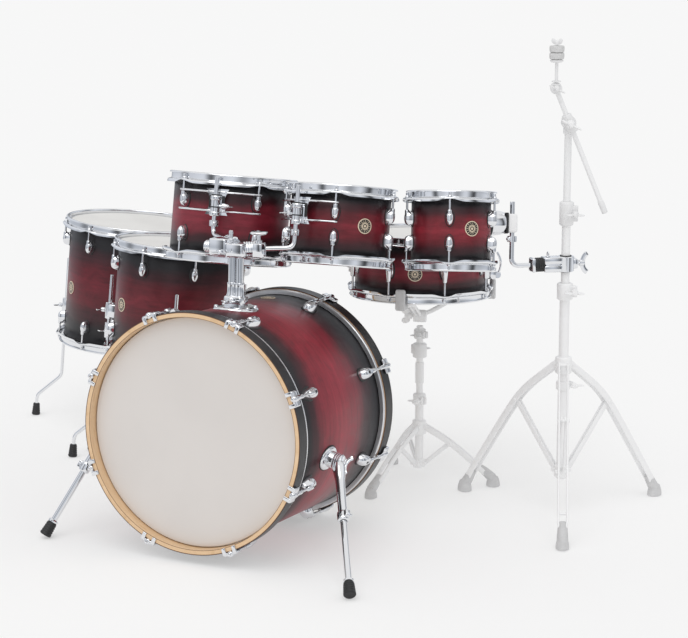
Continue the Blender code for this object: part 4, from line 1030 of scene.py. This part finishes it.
def suspension(name):
    """A bowed plate with a tubular jaw, on two rails that hook round the tension rods."""
    spec, stand = DRUMS[name], ROD_PLACE[name]
    radius, angle = spec["radius"], stand["angle"]
    shape, dark = Shape(), Shape()
    rows, columns = 13, 25
    plate = radius + 0.0212
    points = []
    for face in (0.0016, -0.0016):
        for i in range(rows):
            v = 2 * i / (rows - 1) - 1
            for j in range(columns):
                u = 2 * j / (columns - 1) - 1
                turn = math.radians(angle) + 0.029 * u * (1 - 0.34 * (1 - v * v)) / plate
                out = plate + face
                points.append((out * math.cos(turn), out * math.sin(turn), -0.07 + v * 0.033))
    one = rows * columns
    faces = grid_faces(rows, columns, False, False)
    faces += [tuple(one + i for i in reversed(face))
              for face in grid_faces(rows, columns, False, False)]
    rim = (list(range(columns)) + [i * columns + columns - 1 for i in range(1, rows)]
           + [one - 1 - j for j in range(1, columns)]
           + [i * columns for i in range(rows - 2, 0, -1)])
    faces += [(a, b, one + b, one + a) for a, b in zip(rim, rim[1:] + rim[:1])]
    shape.add(points, faces)
    spread = 180 / spec["lugs"]
    for height in (-0.045, -0.093):
        path = [around(angle + spread * k / 12, radius + 0.0222, height).translation
                for k in range(-12, 13)]
        tube(shape, path, 0.0026, sides=14)
        for side in (-1, 1):
            hook = around(angle + side * spread, radius + ROD_OUT, height)
            loop = [hook @ Vector((0.007 * math.cos(t), 0.007 * math.sin(t), 0))
                    for t in (side * (1.5 - 0.35 * k) for k in range(10))]
            tube(shape, loop, 0.0024, sides=12)
    rod = radius + stand["stand_off"]
    jaw = around(angle, rod, 0)
    soft_lathe(shape, [(0, -0.106), (0.012, -0.106), (0.0138, -0.104), (0.0138, -0.096),
                       (0.0116, -0.094), (0.0116, -0.066), (0.0138, -0.064), (0.0138, -0.056),
                       (0.0122, -0.054), (0, -0.054)], jaw, 36)
    box(shape, around(angle), (radius + 0.019, -0.011, -0.101), (rod, 0.011, -0.059), 0.003)
    for low in (-0.054, -0.083):
        ring(dark, [(0.0124, low + 0.0006), (0.0104, low + 0.003), (0.0066, low + 0.003),
                    (0.0066, low - 0.0016), (0.0124, low - 0.0016)], jaw, 32)
    for side in (-1, 1):
        box(dark, around(angle + math.degrees(0.0165 / plate) * side),
            (plate - 0.0005, -0.004, -0.086), (plate + 0.0022, 0.004, -0.054), 0.001)
    way = -90 if name == "tom12" else 90
    wing_screw(shape, around(angle, rod, -0.08) @ spin("X", way), 1.25, 0.018)
    for way in (-1, 1):
        spot = around(angle + math.degrees(0.022 / plate) * way, plate + 0.001, -0.045)
        bolt(shape, spot @ OUTWARDS, 0.0046, 0.004)
    piece(name + "_suspension_plate", shape, drum_frame(name), [CHROME], name,
          [name + "_suspension_mount"])
    piece(name + "_suspension_insert", dark, drum_frame(name), [RUBBER], name)


def tom8_bracket():
    radius = DRUMS["tom8"]["radius"]
    spot = ROD_PLACE["tom8"]
    place = around(spot["angle"], radius, -0.076)
    rod = spot["stand_off"]
    shape, pad = Shape(), Shape()
    bump_patch(pad, place, 0.036, 0.028, 0.006, power=7, sink=0.006)
    bump_patch(shape, place, 0.032, 0.0245, rod - 0.0185, power=9, sink=0.004)
    box(pad, place, (rod - 0.02, -0.016, -0.0265), (rod - 0.0135, 0.016, 0.0265), 0.002)
    for side in (-1, 1):
        bolt(shape, place @ shift(0.03, -0.014, side * 0.013) @ spin("X", 90), 0.005, 0.005)
        bolt(shape, place @ shift(0.006, 0, side * 0.0265) @ OUTWARDS, 0.0044, 0.006)
    wing_screw(shape, place @ shift(rod - 0.004, 0, 0) @ spin("X", -90), 1.1, 0.013)
    shape.look = 1
    box(shape, place, (rod - 0.014, -0.0135, -0.024), (rod + 0.0115, 0.0135, 0.024), 0.006, 4)
    piece("tom8_bracket", shape, drum_frame("tom8"), [CHROME, PALE], "tom8")
    piece("tom8_bracket_gasket", pad, drum_frame("tom8"), [RUBBER], "tom8")


def tom_clamp():
    """The clamp on the boom stand that holds the small tom's L-rod."""
    hub = hub_of("tom8")
    arm = elbow_of("tom8") - hub
    place = Matrix.Translation(hub) @ spin("Z", math.degrees(math.atan2(arm.y, arm.x)))
    shape, dark = Shape(), Shape()
    loop = [(0.0116, -0.02), (0.02, -0.02), (0.0222, -0.018), (0.0222, 0.018), (0.02, 0.02),
            (0.0116, 0.02)]
    ring(shape, loop, place, 44)
    ring(dark, [(0.0112, -0.0215), (0.015, -0.0215), (0.015, 0.0215), (0.0112, 0.0215)], place, 40)
    box(shape, place, (-0.03, -0.0125, -0.013), (-0.015, 0.0125, 0.013), 0.004)
    wing_bar(shape, place @ shift(-0.029, 0, 0) @ spin("Y", -90), 1.35, 0.01)
    for low in (-0.019, 0.0014):
        box(shape, place, (0.015, -0.0185, low), (0.062, 0.0185, low + 0.0176), 0.0035)
    box(shape, place, (0.02, -0.015, -0.003), (0.058, 0.015, 0.003), 0.001, 1)
    plug = [(0, 0.061), (0.0165, 0.061)]
    for k in range(4):
        plug += [(0.0182, 0.0622 + 0.0052 * k), (0.0182, 0.065 + 0.0052 * k),
                 (0.017, 0.0664 + 0.0052 * k)]
    out = place @ OUTWARDS
    lathe(dark, plug + [(0.0165, 0.084), (0, 0.084)], out, 36)
    box(shape, place, (0.0838, -0.0165, -0.018), (0.094, 0.0165, 0.018), 0.004)
    line = [(0, 0.093), (0.012, 0.093), (0.012, 0.0945), (0.01, 0.0955), (0, 0.0955)]
    lathe(dark, line, out, 32)
    pin(shape, place @ shift(0.048, 0, 0.0), 0.006, 0.016, 0.0215, 0.001)
    eye = [Vector((0.048, 0.0052 * math.cos(t), 0.0262 + 0.0052 * math.sin(t)))
           for t in (math.pi * (k / 8 - 0.5) for k in range(17))]
    tube(shape, eye, 0.0018, place, sides=12)
    piece("tom_clamp_body", shape, Matrix(), [CHROME], "tom_clamp", ["tom_clamp"])
    piece("tom_clamp_grip", dark, Matrix(), [RUBBER], "tom_clamp")


# Floor toms' legs

def floor_legs(name):
    legs = FLOOR_LEGS[name]
    radius = DRUMS[name]["radius"]
    world = drum_frame(name)
    brackets, pads = Shape(), Shape()
    lean = math.sqrt(max(0.0, 1 - world[2][2] ** 2))
    for number, angle in enumerate(legs["angles"], 1):
        place = around(angle, radius, legs["bracket"])
        bump_patch(pads, place, 0.03, 0.021, 0.003, power=7, sink=0.004)
        bump_patch(brackets, place, 0.028, 0.019, 0.012, power=4, sink=0.003)
        box(brackets, place, (0.004, -0.0125, -0.019), (LEG_OFFSET + 0.002, 0.0125, 0.019), 0.004)
        disc(brackets, place @ shift(LEG_OFFSET, 0, 0), 0.0122, -0.0235, 0.0235, 0.0017, 0.0015, 32)
        screw = place @ shift(LEG_OFFSET + 0.006, 0, 0) @ OUTWARDS @ spin("Z", 90)
        wing_bar(brackets, screw, 1.1, 0.01)
        for side in (-1, 1):
            bolt(brackets, place @ shift(0.003, 0, side * 0.0235) @ OUTWARDS, 0.004, 0.006)
        knee_out = around(angle, radius + LEG_SPLAY).translation
        foot = (LEG_FOOT[0] * lean - (world @ knee_out).z) / world[2][2]
        leg_frame = world @ around(angle, radius + LEG_OFFSET, legs["rod_top"])
        down = foot - legs["rod_top"]
        splay = LEG_SPLAY - LEG_OFFSET
        knee = down + LEG_KNEE
        path = filleted([(0, 0, 0), (0, 0, knee + 0.0815), (splay, 0, knee + 0.0056),
                         (splay, 0, down + 0.022)], 0.014, 10)
        leg = Shape()
        tube(leg, path, 0.005, sides=20)
        leg.look = 1
        rubber_foot(leg, shift(splay, 0, down + LEG_FOOT[1]) @ spin("X", 180), *LEG_FOOT, 0.0098)
        node = name + "_leg_" + str(number)
        piece(node + "_rod", leg, leg_frame, [CHROME, RUBBER], node, [node])
    piece(name + "_leg_brackets", brackets, world, [CHROME], "kit")
    piece(name + "_leg_bracket_gaskets", pads, world, [RUBBER], "kit")


# Snare drum's strainer and stand

def strainer():
    radius, height = DRUMS["snare"]["radius"], drum_height("snare")
    place = drum_frame("snare")
    throw, butt = around(STRAINER_ANGLE, radius), around(STRAINER_ANGLE + 180, radius)
    shape, pads = Shape(), Shape()
    box(shape, throw, (-0.002, -0.015, -0.127), (0.012, 0.015, -0.05), 0.004)
    for side in (-1, 1):
        box(shape, throw, (0.008, side * 0.013 - 0.0022, -0.127),
            (0.026, side * 0.013 + 0.0022, -0.098), 0.0018)
    box(shape, throw, (0.008, -0.01, -0.074), (0.021, 0.01, -0.056), 0.003)
    knob = [(0, 0.0), (0.006, 0.0)]
    for k in range(6):
        knob += [(0.0066, 0.0012 + 0.0022 * k), (0.006, 0.0022 + 0.0022 * k)]
    lathe(shape, knob + [(0.005, 0.015), (0, 0.0155)], throw @ shift(0.0145, 0, -0.056), 28)
    box(shape, butt, (-0.002, -0.016, -0.124), (0.008, 0.016, -0.069), 0.003)
    box(shape, butt, (0.004, -0.013, -0.115), (0.017, 0.013, -0.085), 0.003)
    for side in (-1, 1):
        bolt(shape, butt @ shift(0.016, side * 0.007, -0.1) @ OUTWARDS, 0.0044, 0.006)
        bolt(shape, throw @ shift(0.0115, 0, -0.0885 + side * 0.006) @ OUTWARDS, 0.0036, 0.004)
    for spot, low, high in ((throw, -0.13, -0.047), (butt, -0.127, -0.066)):
        box(pads, spot, (-0.003, -0.018, low), (0.0006, 0.018, high), 0.0012)
    piece("snare_strainer", shape, place, [CHROME], "snare")
    piece("snare_strainer_gaskets", pads, place, [RUBBER], "snare")
    lever = Shape()
    hinge = place @ around(STRAINER_ANGLE, radius + LEVER_PIVOT[0], LEVER_PIVOT[1])
    path = filleted([(0.0, 0, 0.003), (0.007, 0, 0.018), (0.0075, 0, 0.04), (-0.002, 0, 0.06)],
                    0.016, 6)
    tube(lever, path, [0.0085] * (len(path) - 6) + [0.0095] * 6, sides=20, flat=0.003,
         side=(1, 0, 0), square=3)
    pin(lever, spin("X", 90), 0.0085, -0.0108, 0.0108, 0.001, 28)
    piece("snare_throw_off_handle", lever, hinge, [CHROME], "snare_throw_off_lever",
          ["snare_throw_off_lever"])
    wires = Shape()
    across_head = around(STRAINER_ANGLE)
    face = EDGE - 0.0016 - height
    for k in range(20):
        across = (k - 9.5) * 0.002
        path = [(-0.142 + 0.284 * i / 60, across + WIRE_CURL * math.cos(i * 2.4),
                 face - 0.001 + WIRE_CURL * math.sin(i * 2.4)) for i in range(61)]
        tube(wires, path, 0.00055, across_head, sides=6)
    for side in (-1, 1):
        box(wires, across_head, (side * 0.15 - 0.009, -0.021, face - 0.002),
            (side * 0.15 + 0.009, 0.021, face - 0.0006), 0.0005)
        box(wires, across_head, (side * 0.166 - 0.01, -0.01, face - 0.0014),
            (side * 0.166 + 0.01, 0.01, face - 0.001), 0.0001, 1)
    piece("snare_wire_set", wires, place, [STEEL], "snare", ["snare_wires"])


def collar(shape, matrix, low, high, radius, inner, screw=None, size=1.2):
    """A moulded collar round a tube, with a split block and a wing screw at the screw's angle."""
    soft = min(0.004, (high - low) * 0.25)
    loop = [(inner, low), (radius - soft, low), (radius - soft * 0.3, low + soft * 0.4),
            (radius, low + soft), (radius, high - soft), (radius - soft * 0.3, high - soft * 0.4),
            (radius - soft, high), (inner, high)]
    ring(shape, loop, matrix, 44)
    if screw is not None:
        spot = matrix @ around(screw, 0, (low + high) / 2)
        half = (high - low) * 0.32
        box(shape, spot, (radius - 0.006, -0.0085, -half), (radius + 0.011, -0.0012, half), 0.002)
        box(shape, spot, (radius - 0.006, 0.0012, -half), (radius + 0.011, 0.0085, half), 0.002)
        wing_screw(shape, spot @ shift(radius + 0.004, -0.0085, 0) @ spin("X", 90), size, 0.006)


def hollow(shape, matrix, inner, outer, low, high):
    """An upright piece of stand tube."""
    e = 0.0007
    loop = [(inner, low), (outer - e, low), (outer, low + e), (outer, high - e),
            (outer - e, high), (inner, high)]
    ring(shape, loop, matrix, 40)


def tripod(shape, matrix, angles, leg, strut, width, gap, foot):
    """Double-braced legs: each is two bars, with a pair of struts and a rubber foot."""
    radius, high = foot
    for angle in angles:
        spot = matrix @ around(angle)
        shape.look = 0
        for side in (-1, 1):
            path = filleted([(r, side * gap, z) for r, z in leg], 0.05, 6)
            start = Vector((leg[0][0] - 0.004, side * gap, leg[0][1] + 0.002))
            end = Vector((leg[-1][0] - 0.004, side * 0.003, leg[-1][1] + 0.006))
            tube(shape, [start] + path[1:-1] + [end], width, spot, sides=14, flat=0.0028,
                 side=(0, 1, 0), square=3.2)
            tube(shape, [(strut[0][0], side * (gap - 0.006), strut[0][1]),
                         (strut[1][0] + 0.004, side * (gap - 0.006), strut[1][1] + 0.006)],
                 width * 0.8, spot, sides=12, flat=0.0022, side=(0, 1, 0), square=3.2)
        for r, z in (leg[0], strut[0], strut[1]):
            pivot = spot @ shift(r, 0, z) @ spin("X", 90)
            pin(shape, pivot, 0.005, -gap - 0.0048, gap + 0.0048, 0.001)
        a, b = Vector((leg[-2][0], 0, leg[-2][1])), Vector((leg[-1][0], 0, leg[-1][1]))
        for share in (0.25, 0.75):
            rivet = spot @ Matrix.Translation(a.lerp(b, share)) @ spin("X", 90)
            pin(shape, rivet, 0.0034, -gap * 0.8, gap * 0.8, 0.0008)
        shape.look = 1
        toe = spot @ shift(leg[-1][0], 0, 0)
        line = [(0, 0), (radius, 0), (radius * 1.02, high * 0.35), (radius * 0.9, high * 0.8),
                (radius * 0.66, high * 1.25), (0, high * 1.3)]
        soft_lathe(shape, line, toe @ Matrix.Diagonal((1.12, 0.92, 1, 1)), 36)
        heel = (a - b).normalized()
        tube(shape, [b + heel * t + Vector((-0.002, 0, 0.004)) for t in (0.0, 0.012, 0.03, 0.046)],
             [radius * 0.8, radius * 0.78, radius * 0.7, radius * 0.52], spot, sides=20)
        shape.look = 0


def snare_stand():
    snare = drum_frame("snare")
    height = drum_height("snare")
    axis = (snare.to_3x3() @ Vector((0, 0, 1))).normalized()
    bottom = snare.translation - axis * height
    hub = bottom - axis * ((bottom.z - SNARE_HUB_HEIGHT) / axis.z)
    place = Matrix.Translation((hub.x, hub.y, 0))
    base = Shape()
    hollow(base, place, 0.0098, 0.0115, 0.045, 0.245)
    collar(base, place, 0.22, 0.252, 0.0175, 0.01, -40, 1.2)
    collar(base, place, 0.138, 0.178, 0.019, 0.0114, None)
    collar(base, place, 0.044, 0.068, 0.017, 0.0114, None)
    tripod(base, place, SNARE_FOOT_ANGLES, SNARE_LEG, SNARE_STRUT, 0.0072, 0.0095, SNARE_FOOT)
    piece("snare_stand_tripod", base, Matrix(), [PALE, PALE_RUBBER], "kit", ["snare_stand_base"])
    post = Shape()
    hollow(post, place, 0.0078, 0.0092, 0.11, 0.44)
    line = [(0.009, 0.28), (0.0112, 0.281)]
    for k in range(9):
        line += [(0.0122, 0.2835 + 0.0062 * k), (0.0114, 0.2866 + 0.0062 * k)]
    line += [(0.0112, 0.339), (0.009, 0.34)]
    ring(post, line, place, 36)
    post.look = 1
    collar(post, place, 0.352, 0.392, 0.019, 0.009, 150, 1.3)
    collar(post, place, 0.404, 0.432, 0.0165, 0.009, -30, 1.1)
    piece("snare_stand_post", post, Matrix(), [PALE, PALE_DARK], "snare_stand_tube",
          ["snare_stand_tube"])
    basket = Shape()
    tilt = Vector((0, 0, 1)).cross(axis).normalized()
    knuckle = Matrix.Translation(hub - tilt * 0.018) @ turn_to(tilt)
    disc(basket, knuckle, 0.017, 0, 0.036, 0.002, 0.002, 40)
    wing_screw(basket, knuckle @ shift(0, 0, 0.034), 1.4, 0.006)
    low = -height - 0.006
    level = (snare.inverted() @ hub).z
    radius = DRUMS["snare"]["radius"]
    stations = ((0.008, level + 0.004, 0.004), (0.035, level + 0.014, 0.0062),
                (0.095, low - 0.006, 0.0062), (radius + 0.024, low - 0.003, 0.005))
    for angle in SNARE_ARM_ANGLES:
        basket.look = 0
        for side in (-1, 1):
            path = [around(angle, r, z) @ Vector((0, side * w, 0)) for r, z, w in stations]
            tube(basket, filleted(path, 0.02, 6), 0.0048, snare, sides=14, flat=0.0026,
                 side=around(angle).to_3x3() @ Vector((0, 1, 0)), square=3)
        for r, z in ((0.06, level + 0.028), (0.13, low - 0.005)):
            pin(basket, snare @ around(angle, r, z) @ spin("X", 90), 0.0036, -0.009, 0.009, 0.0008)
        basket.look = 1
        box(basket, snare @ around(angle), (radius + 0.0208, -0.0135, low - 0.01),
            (radius + 0.033, 0.0135, -height + 0.04), 0.0055, 4)
        box(basket, snare @ around(angle), (radius - 0.008, -0.0125, low - 0.009),
            (radius + 0.029, 0.0125, low + 0.005), 0.004, 3)
    piece("snare_stand_basket", basket, Matrix(), [PALE, PALE_RUBBER], "snare", ["snare_basket"])


def boom_stand():
    place = Matrix.Translation(STAND)
    base = Shape()
    hollow(base, place, 0.0114, 0.0128, 0.094, 0.606)
    collar(base, place, 0.567, 0.611, 0.0205, 0.0116, 20, 1.5)
    collar(base, place, 0.374, 0.418, 0.0215, 0.0127, None)
    collar(base, place, 0.33, 0.354, 0.018, 0.0127, 60, 1.2)
    collar(base, place, 0.098, 0.13, 0.019, 0.0127, None)
    tripod(base, place, BOOM_FOOT_ANGLES, BOOM_LEG, BOOM_STRUT, 0.0085, 0.011, BOOM_FOOT)
    piece("boom_stand_tripod", base, Matrix(), [PALE, PALE_RUBBER], "kit", ["boom_stand_base"])
    middle = Shape()
    hollow(middle, place, 0.0097, 0.0109, 0.445, 0.815)
    middle.look = 1
    collar(middle, place, 0.759, 0.821, 0.0182, 0.0099, 20, 1.4)
    piece("boom_stand_middle", middle, Matrix(), [PALE, PALE_DARK], "boom_stand_middle_tube",
          ["boom_stand_middle_tube"])
    upper = Shape()
    hollow(upper, place, 0.007, 0.0092, 0.63, 1.008)
    head = place @ shift(0, 0, HEAD_HEIGHT)
    side = head @ turn_to(BOOM_SIDE)
    upper.look = 1
    box(upper, head @ spin("Z", math.degrees(math.atan2(BOOM_SIDE.y, BOOM_SIDE.x)) - 90),
        (-0.012, -0.011, -0.03), (0.012, 0.011, -0.006), 0.003)
    pin(upper, side, 0.018, -0.012, 0.014, 0.0016, 40)
    piece("boom_stand_upper", upper, Matrix(), [PALE, PALE_DARK], "boom_stand_upper_tube",
          ["boom_stand_upper_tube"])
    clamp = Shape()
    pin(clamp, side, 0.0172, 0.0144, 0.0222, 0.001, 40)
    teeth = 30

    def toothed(turn):
        out = 0.0176 + 0.0006 * math.cos(teeth * turn)
        return [(0.015, 0.0146), (out, 0.0146), (out, 0.0186), (0.015, 0.0186)]
    ring(clamp, toothed, side, 180)
    centre = head.translation + BOOM_SIDE * BOOM_OFFSET
    sleeve = Matrix.Translation(centre) @ turn_to(BOOM_LINE)
    loop = [(0.0069, -0.024), (0.0112, -0.024), (0.0126, -0.022), (0.0126, 0.022), (0.0112, 0.024),
            (0.0069, 0.024)]
    ring(clamp, loop, sleeve, 36)
    clamp.look = 1
    screw = Matrix.Translation(head.translation + BOOM_SIDE * 0.041) @ turn_to(BOOM_SIDE)
    wing_screw(clamp, screw, 1.7, 0.006)
    piece("boom_clamp_body", clamp, Matrix(), [PALE_DARK, PALE], "boom_clamp", ["boom_clamp"])
    rod = Shape()
    pin(rod, sleeve, 0.0063, -0.24, 0.09, 0.0008, 28)
    line = [(0, -0.246), (0.006, -0.246), (0.0078, -0.243), (0.0078, -0.214), (0.0066, -0.211),
            (0, -0.211)]
    rod.look = 1
    soft_lathe(rod, line, sleeve, 28)
    pivot = centre + BOOM_LINE * BOOM_PIVOT
    ratchet = Matrix.Translation(pivot) @ turn_to(BOOM_SIDE)
    pin(rod, ratchet, 0.0138, -0.006, 0.006, 0.001, 36)
    piece("boom_rod_bar", rod, Matrix(), [PALE, PALE_DARK], "boom_rod", ["boom_rod"])
    tilter = Shape()
    pin(tilter, ratchet, 0.0148, 0.0064, 0.0182, 0.0012, 36)
    wing_screw(tilter, ratchet @ shift(0, 0, 0.017), 1.3, 0.006)
    stem = Matrix.Translation(pivot + BOOM_SIDE * 0.0123)
    pin(tilter, stem, 0.0042, 0, 0.07, 0.0006)
    pin(tilter, stem, 0.0028, 0.06, 0.115, 0.0006)
    for low in (0.008, 0.016):
        ring(tilter, [(0.004, low), (0.0115, low), (0.0115, low + 0.003), (0.004, low + 0.003)],
             stem, 32)
    soft_lathe(tilter, [(0, 0.064), (0.013, 0.064), (0.0165, 0.0665), (0.0165, 0.0715),
                        (0, 0.0722)], stem, 36)
    for way in (-1, 1):
        wing = stem @ shift(way * 0.0085, 0, 0.1165) @ spin("Y", way * 35)
        ball(tilter, wing, 0.0058, 0.0018, 0.008)
    cap(tilter, stem, 0.0056, 0.108, 0.1195)
    tilter.look = 1
    for low, high in ((0.0722, 0.0885), (0.089, 0.106)):
        line = [(0, low), (0.0155, low), (0.0185, low + 0.0018), (0.0188, high - 0.0018),
                (0.0155, high), (0, high)]
        soft_lathe(tilter, line, stem, 44)
    piece("cymbal_tilter_top", tilter, Matrix(), [PALE_DARK, FELT], "cymbal_tilter",
          ["cymbal_tilter"])


# Studio

def studio():
    mesh = bpy.data.meshes.new("floor")
    corners = ((-1, -1), (1, -1), (1, 1), (-1, 1))
    mesh.from_pydata([(x * FLOOR_HALF, y * FLOOR_HALF, 0) for x, y in corners], [], [(0, 1, 2, 3)])
    floor = bpy.data.objects.new("floor", mesh)
    floor.location.z = -0.0004
    look = Look("floor_paper", (FLOOR_GREY, FLOOR_GREY, FLOOR_GREY), 0.95)
    look.set("Specular IOR Level", 0.0)
    look.set("Emission Color", (1, 1, 1, 1))
    look.set("Emission Strength", FLOOR_GLOW)
    mesh.materials.append(look.material)
    SCENE.collection.objects.link(floor)
    world = bpy.data.worlds.new("studio")
    SCENE.world = world
    world.use_nodes = True
    tree = world.node_tree
    path = tree.nodes.new("ShaderNodeLightPath")
    shown = path.outputs["Is Camera Ray"]
    for other in ("Is Glossy Ray", "Is Transmission Ray"):
        most = tree.nodes.new("ShaderNodeMath")
        most.operation = "MAXIMUM"
        tree.links.new(shown, most.inputs[0])
        tree.links.new(path.outputs[other], most.inputs[1])
        shown = most.outputs["Value"]
    back = tree.nodes["Background"]
    back.inputs["Color"].default_value = (BACKDROP_GREY, BACKDROP_GREY, BACKDROP_GREY, 1)
    fill = tree.nodes.new("ShaderNodeBackground")
    fill.inputs["Color"].default_value = (1.0, 1.0, 1.0, 1)
    fill.inputs["Strength"].default_value = FILL_LEVEL
    blend = tree.nodes.new("ShaderNodeMixShader")
    tree.links.new(shown, blend.inputs[0])
    tree.links.new(fill.outputs["Background"], blend.inputs[1])
    tree.links.new(back.outputs["Background"], blend.inputs[2])
    tree.links.new(blend.outputs["Shader"], tree.nodes["World Output"].inputs["Surface"])
    lamp = bpy.data.lights.new("key", "SUN")
    lamp.energy = SUN_LEVEL
    lamp.angle = SUN_SPREAD
    key = bpy.data.objects.new("key", lamp)
    key.rotation_euler = Vector(SUN_FROM).to_track_quat("Z", "Y").to_euler()
    SCENE.collection.objects.link(key)
    surround()


def surround():
    """A tall ring that only reflections see: pale, with the grey bands that the chrome picks up."""
    look = Look("reflected_room", (0, 0, 0), 1.0)
    turn = look.node("TexGradient", {"Vector": look.spot()}, gradient_type="RADIAL").outputs["Fac"]
    bands = [(place, tuple(grey * tint for tint in ROOM_TINT)) for place, grey in ROOM_BANDS]
    shade = look.ramp(turn, bands)
    level = look.node("SeparateXYZ", {"Vector": look.spot()}).outputs["Z"]
    rise = look.ramp(look.range(level, 0.0, ROOM_HEIGHT, 0.0, 1.0),
                     [(0.0, (1, 1, 1)), (0.1, (0.62, 0.64, 0.67)), (0.3, (0.86, 0.87, 0.89)),
                      (1.0, (1, 1, 1))])
    look.set("Emission Color", look.mix("MULTIPLY", 1.0, shade, rise))
    look.set("Emission Strength", 1.0)
    look.set("Specular IOR Level", 0.0)
    look.material.cycles.emission_sampling = "NONE"
    steps = 96
    turns = [2 * math.pi * k / steps for k in range(steps)]
    points = [(ROOM_RADIUS * math.cos(t), ROOM_RADIUS * math.sin(t), z)
              for z in (0.0, ROOM_HEIGHT) for t in turns]
    mesh = bpy.data.meshes.new("reflected_room")
    mesh.from_pydata(points, [], grid_faces(2, steps, False, True))
    mesh.materials.append(look.material)
    wall = bpy.data.objects.new("reflected_room", mesh)
    wall.visible_camera = False
    wall.visible_diffuse = False
    wall.visible_shadow = False
    wall.visible_transmission = False
    SCENE.collection.objects.link(wall)


def camera():
    lens = bpy.data.cameras.new("camera")
    lens.sensor_width = CAMERA_SENSOR
    lens.lens = CAMERA_LENS
    lens.clip_end = 400.0
    eye = bpy.data.objects.new("camera", lens)
    eye.location = CAMERA_AT
    eye.rotation_euler = (math.radians(90 - CAMERA_DROP), 0, CAMERA_TURN)
    SCENE.collection.objects.link(eye)
    SCENE.camera = eye
    SCENE.view_settings.view_transform = "Standard"


def main():
    camera()
    bass_drum()
    spurs()
    tom_holder()
    for name in DRUMS:
        drum(name, "kit" if name.startswith("floor") else name)
    l_rods()
    for name in ("tom10", "tom12"):
        suspension(name)
    tom8_bracket()
    tom_clamp()
    for name in FLOOR_LEGS:
        floor_legs(name)
    strainer()
    snare_stand()
    boom_stand()
    studio()


main()
